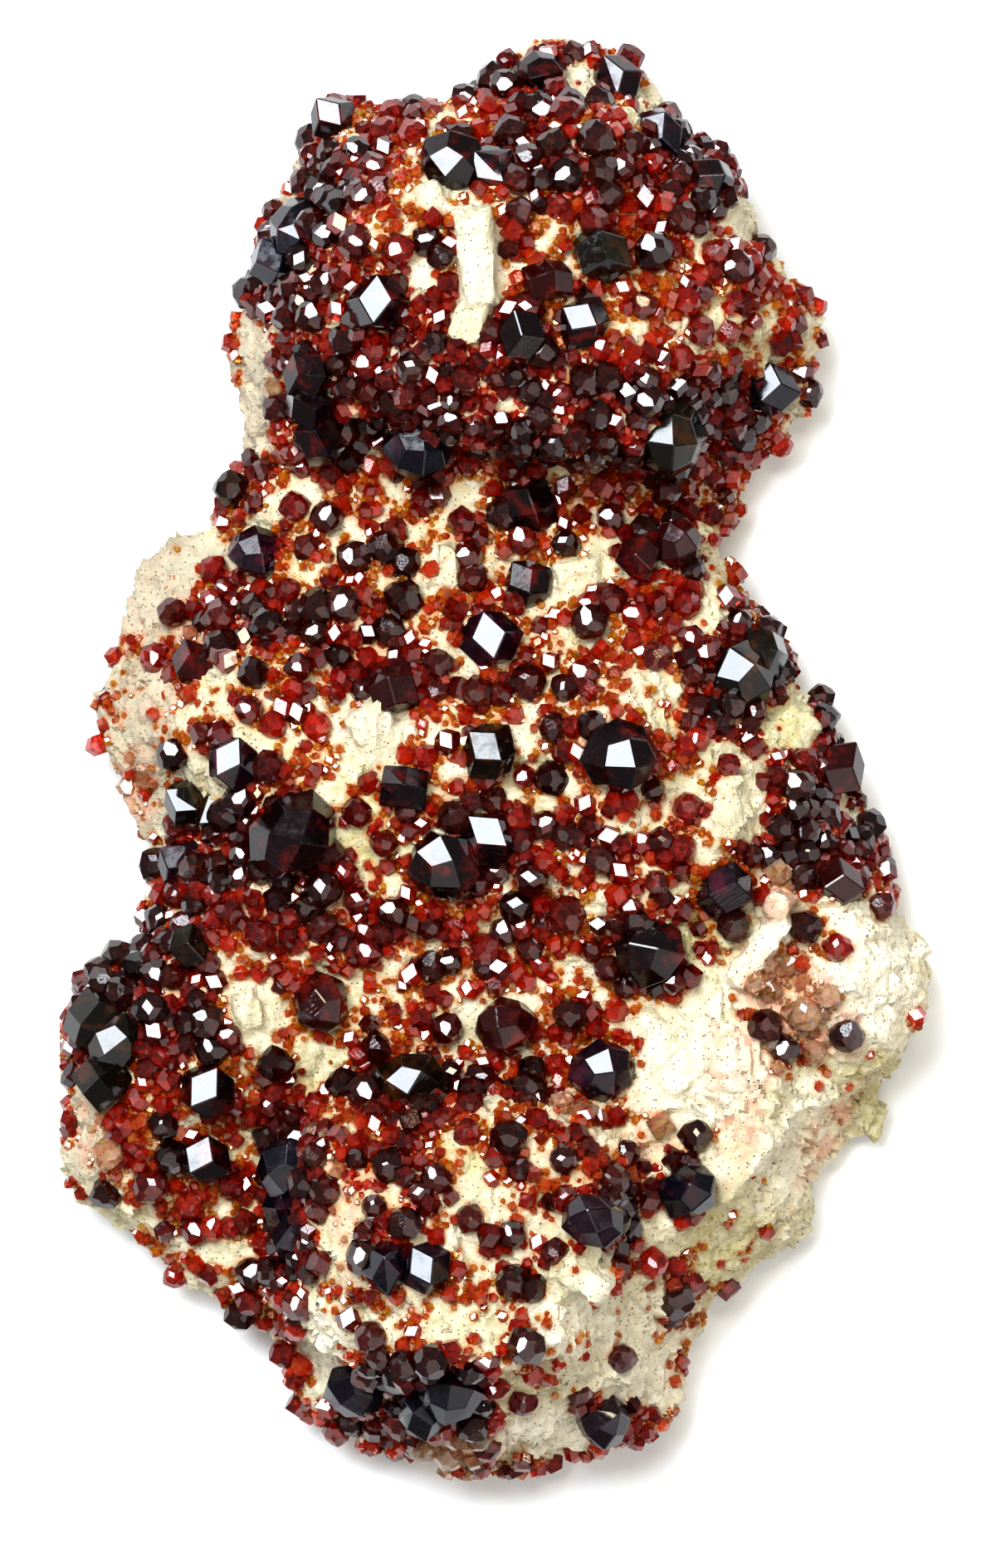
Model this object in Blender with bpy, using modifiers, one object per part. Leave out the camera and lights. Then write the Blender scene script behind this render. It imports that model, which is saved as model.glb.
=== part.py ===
"""Garnet in matrix: a plate of cream rock grown over with dark red garnets, lying on its flat cut back.

Metres, +Z up. +Y runs along the plate, from its foot to its domed head, and the origin is the middle of the
underside. The rock is one solid, with its domes, ledges, blades and smaller garnets grown into it. Each large
garnet, or group of garnets grown together, is a solid of its own that sits in a seat in the rock.
"""

import itertools
import math
import random

import bmesh
import bpy
import numpy as np
from mathutils import Matrix, Quaternion, Vector, noise
from mathutils.bvhtree import BVHTree

MM = 0.001

# Driving sizes of the rock
BODY_HEIGHT = 18.0 * MM  # middle of the plate, before the domes are added
RIM_SHARE = 0.42  # height at the very edge, as a share of the height further in
RIM_RUN = 6.5 * MM  # distance over which the rounded edge rises
UNDERCUT = 0.11  # how far the underside draws in, as a share of the way to the core
BASE_CUT = 0.9 * MM  # thickness that the saw takes off the rough back
SLAB_HEIGHT = 20.0 * MM  # even slab that the relief is shaped from
SKIN_STEP = 1.7 * MM  # spacing of the points that are moved into the relief
EVEN_STEP = 1.1 * MM  # spacing of the points on the shaped rock
ROCK_FACES = 1900  # triangles that the shaped rock is reduced to
LUMPS = ((17.0 * MM, 3.2 * MM), (6.5 * MM, 1.5 * MM))  # width and height of the broken rock's lumps
ROUGH_FROM = 3.0 * MM  # height above which the rock is fully rough
FLAT_WITHIN = 0.4 * MM  # points this near the back are laid flat on it

# Driving sizes of the garnets
SEAT_GAP = 0.35 * MM  # clearance between a large garnet and its seat
GARNET_LIFT = 0.16  # how far a garnet's middle stands above the rock, as a share of its size
GROUP_STEP = 0.3  # share that is kept of the step in height between garnets grown together
MEAN_WIDTH = 2.15  # mean width of a garnet form, in distances from its middle to a face
SKEW = 0.09  # how unevenly a garnet has grown along its axes
LARGEST_DODECAHEDRON = 6.0 * MM  # garnets above this size have 24 faces, the others 12
SEAT_SHARE = {"trapezohedron": 2.0 / math.sqrt(3.0), "dodecahedron": 1.0}  # size of a seat round each form
BRIGHT_FACE = Vector((-0.19, 0.24, 0.95)).normalized()  # a face that catches the light points this way
BRIGHT_SPREAD = 0.07  # how much that direction varies from one garnet to the next

OUTLINE_SPREAD = (0.998, 1.008)  # makes up for what rounding the corners takes off each side

# Outline of the plate seen from above, clockwise from the top of the head, in millimetres
OUTLINE_MM = (
    (7.5, 87.2), (15.0, 85.8), (18.3, 82.8), (21.8, 77.0), (23.3, 73.6), (26.6, 72.2), (29.6, 68.3),
    (31.2, 66.0), (31.2, 63.8), (34.2, 58.8), (36.8, 53.0), (35.9, 48.6), (35.8, 43.8), (34.2, 40.4),
    (33.4, 38.1), (29.3, 36.0), (27.8, 32.0), (27.4, 28.6), (26.2, 25.6), (27.8, 21.3), (30.4, 18.2),
    (33.4, 13.8), (33.4, 11.0), (36.5, 7.3), (40.0, 2.8), (42.6, -0.2), (43.0, -2.7), (45.0, -7.4),
    (47.4, -13.2), (49.2, -17.4), (52.9, -21.2), (54.0, -25.4), (53.0, -30.2), (50.4, -35.4),
    (47.8, -40.0), (46.2, -45.0), (43.0, -48.4), (39.2, -51.7), (38.3, -56.0), (35.0, -58.4),
    (29.5, -62.2), (25.8, -66.0), (24.2, -69.5), (21.7, -71.8), (21.8, -75.0), (19.8, -78.7),
    (16.3, -81.0), (11.0, -83.0), (4.0, -85.4), (-2.5, -88.0), (-5.0, -88.7), (-10.5, -84.8),
    (-15.2, -82.8), (-20.5, -79.4), (-23.6, -75.4), (-24.8, -70.0), (-28.0, -68.0), (-32.2, -65.2),
    (-37.2, -63.2), (-39.6, -60.2), (-44.2, -58.2), (-48.0, -56.2), (-51.4, -53.6), (-51.6, -47.7),
    (-51.2, -42.7), (-50.6, -39.2), (-51.8, -36.2), (-52.0, -32.2), (-50.4, -27.4), (-46.8, -23.7),
    (-44.2, -21.2), (-43.9, -17.7), (-44.6, -12.7), (-46.1, -8.2), (-47.4, -2.2), (-48.4, 2.8),
    (-49.4, 6.1), (-47.4, 9.6), (-45.3, 11.8), (-45.9, 15.3), (-45.6, 20.3), (-44.2, 23.6),
    (-41.4, 27.2), (-36.2, 29.2), (-33.9, 31.8), (-31.6, 36.3), (-31.2, 42.8), (-30.8, 48.6),
    (-29.0, 53.3), (-28.2, 57.8), (-28.3, 63.3), (-27.1, 67.8), (-26.8, 70.3), (-24.3, 73.6),
    (-21.8, 77.4), (-19.8, 79.4), (-17.3, 79.0), (-14.8, 77.4), (-11.5, 79.3), (-7.5, 78.5),
    (-3.8, 79.7), (-0.2, 82.2), (4.0, 85.4),
)

# Line through the thick middle of the plate, from head to foot, in millimetres
CORE_MM = ((1.0, 64.0), (-1.0, 32.0), (-3.0, 4.0), (2.0, -30.0), (-3.0, -68.0))

# Forms of the relief, in millimetres: middle x and y, half length along x and y before the turn, turn in
# degrees, rise, squareness (2 round, 6 a block), and wall (0.1 steep, 1 gentle)
FORMS_MM = {
    "head dome": (3.0, 60.5, 32.0, 22.0, -12, 11.0, 2.6, 0.24),
    "head crown": (-2.0, 57.5, 19.0, 15.0, 10, 3.5, 2.0, 0.80),
    "upper left lobe": (-19.0, 72.0, 9.0, 9.0, 0, 2.5, 2.0, 0.70),
    "neck": (3.0, 30.0, 26.0, 7.5, 0, -3.0, 2.5, 0.80),
    "left lobe": (-39.0, 20.0, 9.0, 9.0, 0, -5.0, 2.5, 0.60),
    "left flank": (-44.0, 2.0, 7.0, 15.0, 0, -5.0, 2.5, 0.80),
    "left swelling": (-26.0, -7.0, 17.0, 15.0, 0, 4.0, 2.0, 0.90),
    "middle swelling": (-3.0, 8.0, 14.0, 16.0, 0, 3.0, 2.0, 0.90),
    "right dome": (24.0, 0.0, 17.0, 19.0, -20, 6.5, 2.0, 0.70),
    "folded lump": (28.8, -5.6, 4.2, 5.6, 0, 3.2, 3.0, 0.30),
    "lower left lobe": (-43.0, -35.0, 10.0, 13.0, 0, 4.0, 2.0, 0.80),
    "lower left hollow": (-33.0, -52.0, 9.0, 12.0, 20, -4.0, 2.5, 0.60),
    "foot block": (-6.0, -57.0, 18.5, 15.5, -6, 12.5, 4.5, 0.16),
    "foot block top": (-4.0, -61.0, 12.0, 10.0, 0, 3.0, 2.0, 0.80),
    "foot block right end": (15.0, -62.0, 9.0, 12.0, -25, 6.0, 3.0, 0.30),
    "foot apron": (-4.0, -78.0, 17.0, 9.0, 0, 5.0, 2.5, 0.50),
    "bare slope": (27.0, -42.0, 13.0, 12.0, 35, 2.5, 2.5, 0.50),
    "bare dome": (45.5, -27.0, 7.5, 10.0, 15, 4.5, 2.5, 0.45),
    "right shelf": (47.0, -47.5, 9.0, 9.0, 35, -7.5, 5.0, 0.14),
    "lower shelf": (38.0, -59.5, 7.0, 4.5, 30, -6.0, 5.0, 0.20),
}

# Places where a high edge leans out over what lies below it, in millimetres: x, y, reach, lowest z, lean
LEANS_MM = (
    (8.0, 41.0, 20.0, 20.0, (0.5, -2.6)),
    (-24.0, -56.0, 13.0, 20.0, (-2.0, -0.4)),
    (20.0, 8.0, 14.0, 18.0, (1.2, 0.6)),
)

# Bare blades and blocks of feldspar that stand out of the rock, in millimetres: x, y, length, width, how far
# they stand out, turn from the y axis in degrees, and tilt
BLADES_MM = (
    (-2.4, 60.0, 13.5, 5.2, 3.6, 6, 6),
    (-3.4, 52.6, 6.0, 4.6, 2.4, -18, 8),
    (-7.8, 67.2, 4.6, 3.4, 1.6, 25, 4),
    (-6.2, 23.8, 5.8, 2.7, 2.4, -3, 4),
    (9.6, 22.6, 4.6, 6.2, 1.6, 10, 5),
    (-15.0, 4.0, 7.6, 6.4, 2.6, 32, 9),
    (31.4, -22.6, 12.6, 3.4, 3.4, -40, 4),
    (33.8, -17.0, 3.8, 3.6, 4.0, -35, 6),
    (36.0, 4.6, 6.0, 4.6, 1.8, 48, 7),
    (-30.0, -29.8, 6.0, 4.2, 1.8, 20, 6),
    (29.0, -48.5, 12.0, 4.4, 1.8, -38, 5),
    (22.5, -36.5, 9.0, 5.0, 1.5, -42, 5),
    (10.0, -61.5, 8.0, 4.0, 2.2, 58, 6),
)

# Large garnets by node, in millimetres: x, y, size, and whether a face catches the light. Garnets in one
# node have grown together.
LARGE_MM = {
    "garnet_head_corner": ((-19.7, 77.6, 5.0, True),),
    "garnet_head_pair_left": ((-26.3, 60.3, 5.5, True), (-23.5, 63.8, 7.5, False)),
    "garnet_head_pair_top": ((5.5, 82.6, 6.2, False), (6.0, 78.6, 5.0, False)),
    "garnet_head_crest": ((14.0, 82.4, 5.5, True),),
    "garnet_head_pair_upper": ((-5.5, 71.3, 7.5, True), (-0.6, 70.3, 5.5, False)),
    "garnet_head_blue": ((19.0, 75.3, 5.5, True),),
    "garnet_head_green": ((12.2, 60.6, 6.0, False),),
    "garnet_head_mirror": ((10.2, 52.2, 5.5, True),),
    "garnet_head_beside_blade": ((5.8, 57.2, 5.2, False),),
    "garnet_head_glassy": ((-14.0, 54.8, 6.0, False),),
    "garnet_head_brow": ((2.8, 51.0, 5.6, False),),
    "garnet_head_right_rim": ((32.8, 45.3, 5.5, True),),
    "garnet_head_shoulder": ((25.2, 69.4, 5.0, False),),
    "garnet_neck_trio": ((-22.2, 46.6, 6.0, False), (-22.5, 43.0, 5.5, False), (-21.5, 38.9, 5.5, False)),
    "garnet_neck_left": ((-9.5, 38.3, 7.5, True),),
    "garnet_neck_right": ((20.0, 39.6, 8.5, True),),
    "garnet_neck_shard": ((-28.5, 25.3, 6.5, True),),
    "garnet_neck_tall": ((4.0, 30.8, 6.0, False),),
    "garnet_neck_pair_right": ((17.0, 24.6, 5.5, False), (21.5, 26.0, 6.5, False)),
    "garnet_chest_middle": ((3.5, 21.3, 5.0, True),),
    "garnet_chest_lavender": ((-1.0, 14.8, 6.0, True),),
    "garnet_left_flat": ((-36.2, 11.3, 5.5, False),),
    "garnet_left_upper": ((-31.7, -0.2, 5.8, True),),
    "garnet_left_pair": ((-37.5, -4.9, 5.0, False), (-33.2, -6.4, 5.8, True)),
    "garnet_largest": ((-24.5, -8.9, 10.5, False),),
    "garnet_left_lower": ((-37.9, -12.2, 5.2, True),),
    "garnet_left_green": ((-37.0, -22.4, 5.5, False),),
    "garnet_chest_left": ((-12.5, 9.3, 6.0, False),),
    "garnet_middle_striped": ((-1.0, 1.3, 6.0, True),),
    "garnet_middle_black": ((14.5, 0.8, 8.5, True),),
    "garnet_middle_left": ((-11.2, -3.2, 5.5, False),),
    "garnet_middle_pair": ((-1.2, -9.2, 6.0, True), (-6.5, -12.2, 8.0, True)),
    "garnet_middle_lower": ((18.5, -22.7, 8.5, False),),
    "garnet_right_trio": ((31.6, 13.0, 6.0, False), (28.5, 9.8, 9.0, True), (24.2, 4.9, 7.5, True)),
    "garnet_right_rim": ((40.6, -0.9, 6.0, False),),
    "garnet_right_lower": ((41.0, -15.0, 5.5, False),),
    "garnet_right_purple": ((27.0, -15.4, 6.0, False),),
    "garnet_rim_trio": ((-48.6, -31.2, 6.0, False), (-45.5, -33.7, 7.5, True), (-47.4, -38.2, 6.0, False)),
    "garnet_lower_mirror": ((-35.0, -39.4, 6.0, True),),
    "garnet_lower_dark": ((-21.5, -28.7, 7.0, False),),
    "garnet_lower_left": ((-35.5, -47.8, 5.5, True),),
    "garnet_wall_group": ((-24.4, -49.0, 7.5, False), (-24.6, -53.6, 5.5, False), (-23.6, -57.8, 6.0, False)),
    "garnet_lower_red": ((1.0, -31.9, 7.0, False),),
    "garnet_lower_white": ((12.5, -37.4, 7.0, True),),
    "garnet_block_edge": ((-10.5, -39.6, 8.0, True),),
    "garnet_block_pair": ((-13.0, -60.2, 5.5, False), (-8.5, -60.2, 5.0, True)),
    "garnet_block_right": ((11.0, -54.6, 6.5, False),),
    "garnet_lower_black": ((22.5, -51.7, 7.5, False),),
    "garnet_foot_left": ((-17.0, -75.4, 7.0, False),),
    "garnet_foot_pair": ((-5.5, -74.7, 7.5, False), (-8.8, -78.0, 5.0, False)),
    "garnet_foot_right": ((12.5, -78.9, 7.0, False),),
}

# Smaller garnets that are grown into the rock, in millimetres: x, y, size
SMALL_MM = (
    (-21.0, 68.4, 4.5), (-16.7, 61.8, 4.5), (1.4, 75.4, 4.4), (7.0, 73.6, 4.2), (12.0, 74.3, 5.0),
    (8.0, 69.4, 4.4), (13.0, 67.8, 4.0), (18.5, 60.8, 5.0), (27.0, 44.8, 4.2), (-20.5, 29.6, 4.0),
    (-17.4, 24.8, 4.2), (-33.4, 17.4, 4.8), (-27.8, 16.4, 4.5), (-22.0, 18.6, 4.8), (-11.2, 19.6, 4.8),
    (11.0, 17.0, 4.6), (10.0, 10.4, 4.0), (-23.0, -17.4, 4.2), (-28.5, -21.0, 4.0), (-2.2, 8.4, 4.2),
    (3.6, 9.6, 4.6), (6.9, -2.0, 4.4), (3.6, -14.0, 4.2), (8.6, -18.0, 4.8), (37.2, -20.2, 4.2),
    (-27.0, -36.4, 4.4), (-43.0, -25.0, 4.6), (-41.8, -51.0, 4.6), (8.6, -30.4, 4.2), (-13.0, -48.0, 4.2),
    (24.0, -45.0, 4.0), (1.8, -62.0, 4.5), (32.2, -31.6, 4.4), (37.2, -30.0, 4.4), (42.0, -33.0, 4.2),
    (3.4, -69.4, 4.8), (-5.6, -83.6, 4.2),
)

ROCK_COLOUR = (0.80, 0.72, 0.52)
GARNET_COLOUR = (0.055, 0.008, 0.007)


def clear_scene():
    """Removes what the scene holds at the start."""
    for obj in list(bpy.data.objects):
        bpy.data.objects.remove(obj, do_unlink=True)


def new_collection(name):
    """Adds a collection to the scene."""
    collection = bpy.data.collections.new(name)
    bpy.context.scene.collection.children.link(collection)
    return collection


def new_material(name, colour, roughness):
    """A plain surface of one colour."""
    material = bpy.data.materials.new(name)
    material.use_nodes = True
    shader = material.node_tree.nodes["Principled BSDF"]
    shader.inputs["Base Color"].default_value = (*colour, 1.0)
    shader.inputs["Roughness"].default_value = roughness
    shader.inputs["Metallic"].default_value = 0.0
    return material


def add_object(name, mesh, collection, material=None):
    """Adds an object with this mesh, at the origin."""
    obj = bpy.data.objects.new(name, mesh)
    collection.objects.link(obj)
    if material:
        mesh.materials.clear()
        mesh.materials.append(material)
    return obj


def mesh_of(source):
    """A mesh of an object as its modifiers leave it."""
    bpy.context.view_layer.update()
    evaluated = source.evaluated_get(bpy.context.evaluated_depsgraph_get())
    return bpy.data.meshes.new_from_object(evaluated)


def baked(obj):
    """Applies an object's modifiers by taking the mesh that they give."""
    mesh = mesh_of(obj)
    obj.modifiers.clear()
    obj.data = mesh


def smooth_step(value):
    """0 below 0, 1 above 1, with an even S between."""
    value = np.clip(value, 0.0, 1.0)
    return value * value * (3.0 - 2.0 * value)


def nearest_on_path(points, path, closed):
    """For each point, the nearest point on a path of straight runs. Both in millimetres."""
    path = np.array(path)
    ends = np.roll(path, -1, axis=0) if closed else path[1:]
    starts = path if closed else path[:-1]
    runs = ends - starts
    offset = points[:, None, :] - starts[None, :, :]
    share = np.clip((offset * runs).sum(axis=2) / (runs * runs).sum(axis=1), 0.0, 1.0)
    candidates = starts[None, :, :] + share[:, :, None] * runs[None, :, :]
    distance = np.linalg.norm(points[:, None, :] - candidates, axis=2)
    best = distance.argmin(axis=1)
    rows = np.arange(len(points))
    return candidates[rows, best], distance[rows, best]


def form_share(points, form):
    """How much of a form's rise each point takes, from 0 outside it to 1 at its middle."""
    x, y, half_x, half_y, turn, _, squareness, wall = form
    angle = math.radians(turn)
    dx, dy = points[:, 0] - x, points[:, 1] - y
    u = np.abs(math.cos(angle) * dx + math.sin(angle) * dy) / half_x
    v = np.abs(math.cos(angle) * dy - math.sin(angle) * dx) / half_y
    radius = (u**squareness + v**squareness) ** (1.0 / squareness)
    return smooth_step((1.0 + wall - radius) / (2.0 * wall))


def relief(points):
    """Height of the rock's upper side at each point, in millimetres."""
    height = np.full(len(points), BODY_HEIGHT / MM)
    for form in FORMS_MM.values():
        height += form[5] * form_share(points, form)
    _, inside = nearest_on_path(points, OUTLINE_MM, closed=True)
    edge = RIM_SHARE + (1.0 - RIM_SHARE) * (1.0 - np.exp(-inside / (RIM_RUN / MM)))
    return height * edge


def add_remesh(obj, step):
    """Gives an object an even skin of small faces."""
    remesh = obj.modifiers.new("even skin", "REMESH")
    remesh.mode = "VOXEL"
    remesh.voxel_size = step


def slab_mesh(collection):
    """An even slab with the plate's outline, as a skin of small faces."""
    curve = bpy.data.curves.new("slab", "CURVE")
    curve.dimensions = "2D"
    curve.fill_mode = "BOTH"
    curve.extrude = SLAB_HEIGHT / 2.0
    spline = curve.splines.new("POLY")
    spline.points.add(len(OUTLINE_MM) - 1)
    for point, (x, y) in zip(spline.points, OUTLINE_MM):
        point.co = (x * MM * OUTLINE_SPREAD[0], y * MM * OUTLINE_SPREAD[1], 0.0, 1.0)
    spline.use_cyclic_u = True
    outline = bpy.data.objects.new("slab", curve)
    collection.objects.link(outline)
    solid = mesh_of(outline)
    bpy.data.objects.remove(outline, do_unlink=True)
    bm = bmesh.new()
    bm.from_mesh(solid)
    bmesh.ops.remove_doubles(bm, verts=bm.verts, dist=0.01 * MM)
    bmesh.ops.translate(bm, verts=bm.verts, vec=(0.0, 0.0, SLAB_HEIGHT / 2.0))
    bm.to_mesh(solid)
    bm.free()
    slab = add_object("slab_skin", solid, collection)
    add_remesh(slab, SKIN_STEP)
    skin = mesh_of(slab)
    bpy.data.objects.remove(slab, do_unlink=True)
    return skin


def shape_relief(mesh):
    """Moves the slab's points into the domes, walls and rounded edge of the rock."""
    places = np.array([vertex.co for vertex in mesh.vertices])
    flat = places[:, :2] / MM
    level = np.clip(places[:, 2] / SLAB_HEIGHT, 0.0, 1.0)
    height = relief(flat) * level
    core, _ = nearest_on_path(flat, CORE_MM, closed=False)
    drawn_in = 1.0 - UNDERCUT * (1.0 - level) ** 1.5
    flat = core + (flat - core) * drawn_in[:, None]
    for x, y, reach, lowest, lean in LEANS_MM:
        near = np.exp(-((flat[:, 0] - x) ** 2 + (flat[:, 1] - y) ** 2) / reach**2)
        share = near * smooth_step((height - lowest) / 10.0)
        flat = flat + share[:, None] * np.array(lean)
    for vertex, (x, y), z in zip(mesh.vertices, flat, height):
        vertex.co = (x * MM, y * MM, z * MM)
    mesh.update()


def roughen(mesh):
    """Breaks the even surface up into the lumps of broken rock."""
    normals = [vertex.normal.copy() for vertex in mesh.vertices]
    for vertex, normal in zip(mesh.vertices, normals):
        lump = sum(height * noise.noise(vertex.co / width) for width, height in LUMPS)
        share = min(1.0, max(0.0, vertex.co.z / ROUGH_FROM))
        vertex.co += normal * (lump * share)
        vertex.co.z -= BASE_CUT
    mesh.update()


def cut_flat(mesh, level):
    """Cuts away all below a level and closes the cut with one flat face."""
    bm = bmesh.new()
    bm.from_mesh(mesh)
    cut = bmesh.ops.bisect_plane(
        bm,
        geom=bm.verts[:] + bm.edges[:] + bm.faces[:],
        plane_co=(0.0, 0.0, level),
        plane_no=(0.0, 0.0, -1.0),
        clear_outer=True,
        dist=0.001 * MM,
    )
    rim = [item for item in cut["geom_cut"] if isinstance(item, bmesh.types.BMEdge)]
    bmesh.ops.contextual_create(bm, geom=rim)
    bmesh.ops.recalc_face_normals(bm, faces=bm.faces)
    bm.to_mesh(mesh)
    bm.free()


def make_rock(collection):
    """The shaped rock with a flat back, and a search tree of its full skin for placing what grows on it."""
    skin = slab_mesh(collection)
    shape_relief(skin)
    roughen(skin)
    rock = add_object("matrix", skin, collection)
    add_remesh(rock, EVEN_STEP)
    baked(rock)
    cut_flat(rock.data, 0.0)
    bm = bmesh.new()
    bm.from_mesh(rock.data)
    tree = BVHTree.FromBMesh(bm)
    triangles = sum(len(face.verts) - 2 for face in bm.faces)
    bm.free()
    decimate = rock.modifiers.new("fewer faces", "DECIMATE")
    decimate.ratio = ROCK_FACES / triangles
    baked(rock)
    for vertex in rock.data.vertices:
        if vertex.co.z < FLAT_WITHIN:
            vertex.co.z = 0.0
    return rock, tree


def form_corners(kind, face_distance):
    """Corners of a garnet form whose faces all lie at one distance from its middle."""
    if kind == "trapezohedron":
        on_axes, on_corners = face_distance * math.sqrt(6.0) / 2.0, face_distance * math.sqrt(6.0) / 4.0
        on_edges = face_distance * math.sqrt(6.0) / 3.0
    else:
        on_axes, on_corners = face_distance * math.sqrt(2.0), face_distance * math.sqrt(2.0) / 2.0
        on_edges = 0.0
    corners = [Vector(signs) * on_corners for signs in itertools.product((-1, 1), repeat=3)]
    for axis in range(3):
        for sign in (-1, 1):
            corner = Vector((0.0, 0.0, 0.0))
            corner[axis] = sign * on_axes
            corners.append(corner)
    if on_edges:
        for first, second in itertools.combinations(range(3), 2):
            for signs in itertools.product((-1, 1), repeat=2):
                corner = Vector((0.0, 0.0, 0.0))
                corner[first], corner[second] = signs[0] * on_edges, signs[1] * on_edges
                corners.append(corner)
    return corners


def add_form(bm, kind, size, skew, turn, place):
    """Adds one garnet form to a mesh, and gives its faces."""
    corners = [skew @ corner for corner in form_corners(kind, size / MEAN_WIDTH)]
    new = [bm.verts.new(corner) for corner in corners]
    hull = bmesh.ops.convex_hull(bm, input=new)
    bmesh.ops.transform(bm, matrix=Matrix.Translation(place) @ turn.to_matrix().to_4x4(), verts=new)
    return [item for item in hull["geom"] if isinstance(item, bmesh.types.BMFace)]


def draw_growth(rng, kind, bright):
    """How unevenly a garnet has grown, and its turn: at random, or with its widest face to the light."""
    skew = Matrix.Identity(3)
    for row, column in itertools.combinations_with_replacement(range(3), 2):
        skew[row][column] += rng.uniform(-SKEW, SKEW)
        skew[column][row] = skew[row][column]
    turn = Quaternion([rng.gauss(0.0, 1.0) for _ in range(4)]).normalized()
    if bright:
        bm = bmesh.new()
        faces = add_form(bm, kind, 1.0, skew, Quaternion(), Vector((0.0, 0.0, 0.0)))
        wide = max(faces, key=lambda face: face.calc_area())
        wide.normal_update()
        wobble = Vector([rng.uniform(-BRIGHT_SPREAD, BRIGHT_SPREAD) for _ in range(3)])
        aim = (BRIGHT_FACE + wobble).normalized()
        turn = Quaternion(aim, rng.uniform(0.0, math.tau)) @ wide.normal.rotation_difference(aim)
        bm.free()
    return skew, turn


def seat_on(tree, x, y, size):
    """Middle of a garnet that grows at x, y: a little above the skin of the rock."""
    place, normal, _, _ = tree.ray_cast(Vector((x, y, 0.1)), Vector((0.0, 0.0, -1.0)))
    if place is None:
        place, normal, _, _ = tree.find_nearest(Vector((x, y, BODY_HEIGHT * RIM_SHARE)))
    lean = (normal + Vector((0.0, 0.0, 1.0))).normalized()
    return place + lean * (GARNET_LIFT * size)


def finished(bm, name):
    """Turns a bmesh into a mesh with its faces pointing out."""
    bmesh.ops.recalc_face_normals(bm, faces=bm.faces)
    mesh = bpy.data.meshes.new(name)
    bm.to_mesh(mesh)
    bm.free()
    return mesh


def add_boolean(obj, other, operation, overlapping=False):
    """Joins another object to this one or cuts it away."""
    boolean = obj.modifiers.new(operation.lower(), "BOOLEAN")
    boolean.operation = operation
    boolean.object = other
    boolean.solver = "EXACT"
    boolean.use_self = overlapping


def hide_cutter(obj):
    """Marks an object as a guide that is not part of the plate."""
    obj.hide_render = True
    obj.display_type = "WIRE"


def make_large_garnets(tree, plate, guides, material):
    """The large garnets, each single one or grown group as its own object, and the seats cut for them."""
    seats = bmesh.new()
    for number, (name, group) in enumerate(LARGE_MM.items()):
        garnet = None
        for index, (x, y, size, bright) in enumerate(group):
            size *= MM
            place = seat_on(tree, x * MM, y * MM, size)
            if garnet is not None:
                place.z = last_z + GROUP_STEP * (place.z - last_z)
            last_z = place.z
            kind = "trapezohedron" if size > LARGEST_DODECAHEDRON else "dodecahedron"
            skew, turn = draw_growth(random.Random(100 * number + index), kind, bright)
            bm = bmesh.new()
            add_form(bm, kind, size, skew, turn, place)
            mesh = finished(bm, name)
            seat_size = SEAT_SHARE[kind] * size + MEAN_WIDTH * SEAT_GAP
            add_form(seats, "dodecahedron", seat_size, skew, turn, place)
            if garnet is None:
                garnet = add_object(name, mesh, plate, material)
            else:
                partner = add_object(f"{name}_partner_{index}", mesh, guides, material)
                hide_cutter(partner)
                add_boolean(garnet, partner, "UNION")
    cutter = add_object("garnet_seats", finished(seats, "garnet_seats"), guides)
    hide_cutter(cutter)
    return cutter


def make_small_garnets(tree, guides, material):
    """The smaller garnets that are joined to the rock, as one guide object."""
    bm = bmesh.new()
    for number, (x, y, size) in enumerate(SMALL_MM):
        size *= MM
        place = seat_on(tree, x * MM, y * MM, size)
        skew, turn = draw_growth(random.Random(9000 + number), "dodecahedron", False)
        add_form(bm, "dodecahedron", size, skew, turn, place)
    small = add_object("small_garnets", finished(bm, "small_garnets"), guides, material)
    hide_cutter(small)
    return small


def make_blades(tree, guides, material):
    """The bare blades and blocks that stand out of the rock, as one guide object."""
    joined = bmesh.new()
    for number, (x, y, length, width, stands_out, turn, tilt) in enumerate(BLADES_MM):
        rng = random.Random(500 + number)
        place, _, _, _ = tree.ray_cast(Vector((x * MM, y * MM, 0.1)), Vector((0.0, 0.0, -1.0)))
        thick = 2.4 * stands_out
        sides = Matrix.Diagonal((width * MM, length * MM, thick * MM, 1.0))
        middle = place + Vector((0.0, 0.0, (stands_out - thick / 2.0) * MM))
        turned = Matrix.Rotation(math.radians(turn), 4, "Z") @ Matrix.Rotation(math.radians(tilt), 4, "X")
        block = bmesh.ops.create_cube(joined, size=1.0, matrix=Matrix.Translation(middle) @ turned @ sides)
        for vertex in block["verts"]:
            slope = 0.78 if vertex.co.z > middle.z else 1.1
            offset = vertex.co - middle
            offset.x *= slope * rng.uniform(0.88, 1.08)
            offset.y *= slope * rng.uniform(0.92, 1.06)
            offset.z *= rng.uniform(0.85, 1.1)
            vertex.co = middle + offset
    blades = add_object("blades", finished(joined, "blades"), guides, material)
    hide_cutter(blades)
    return blades


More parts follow.
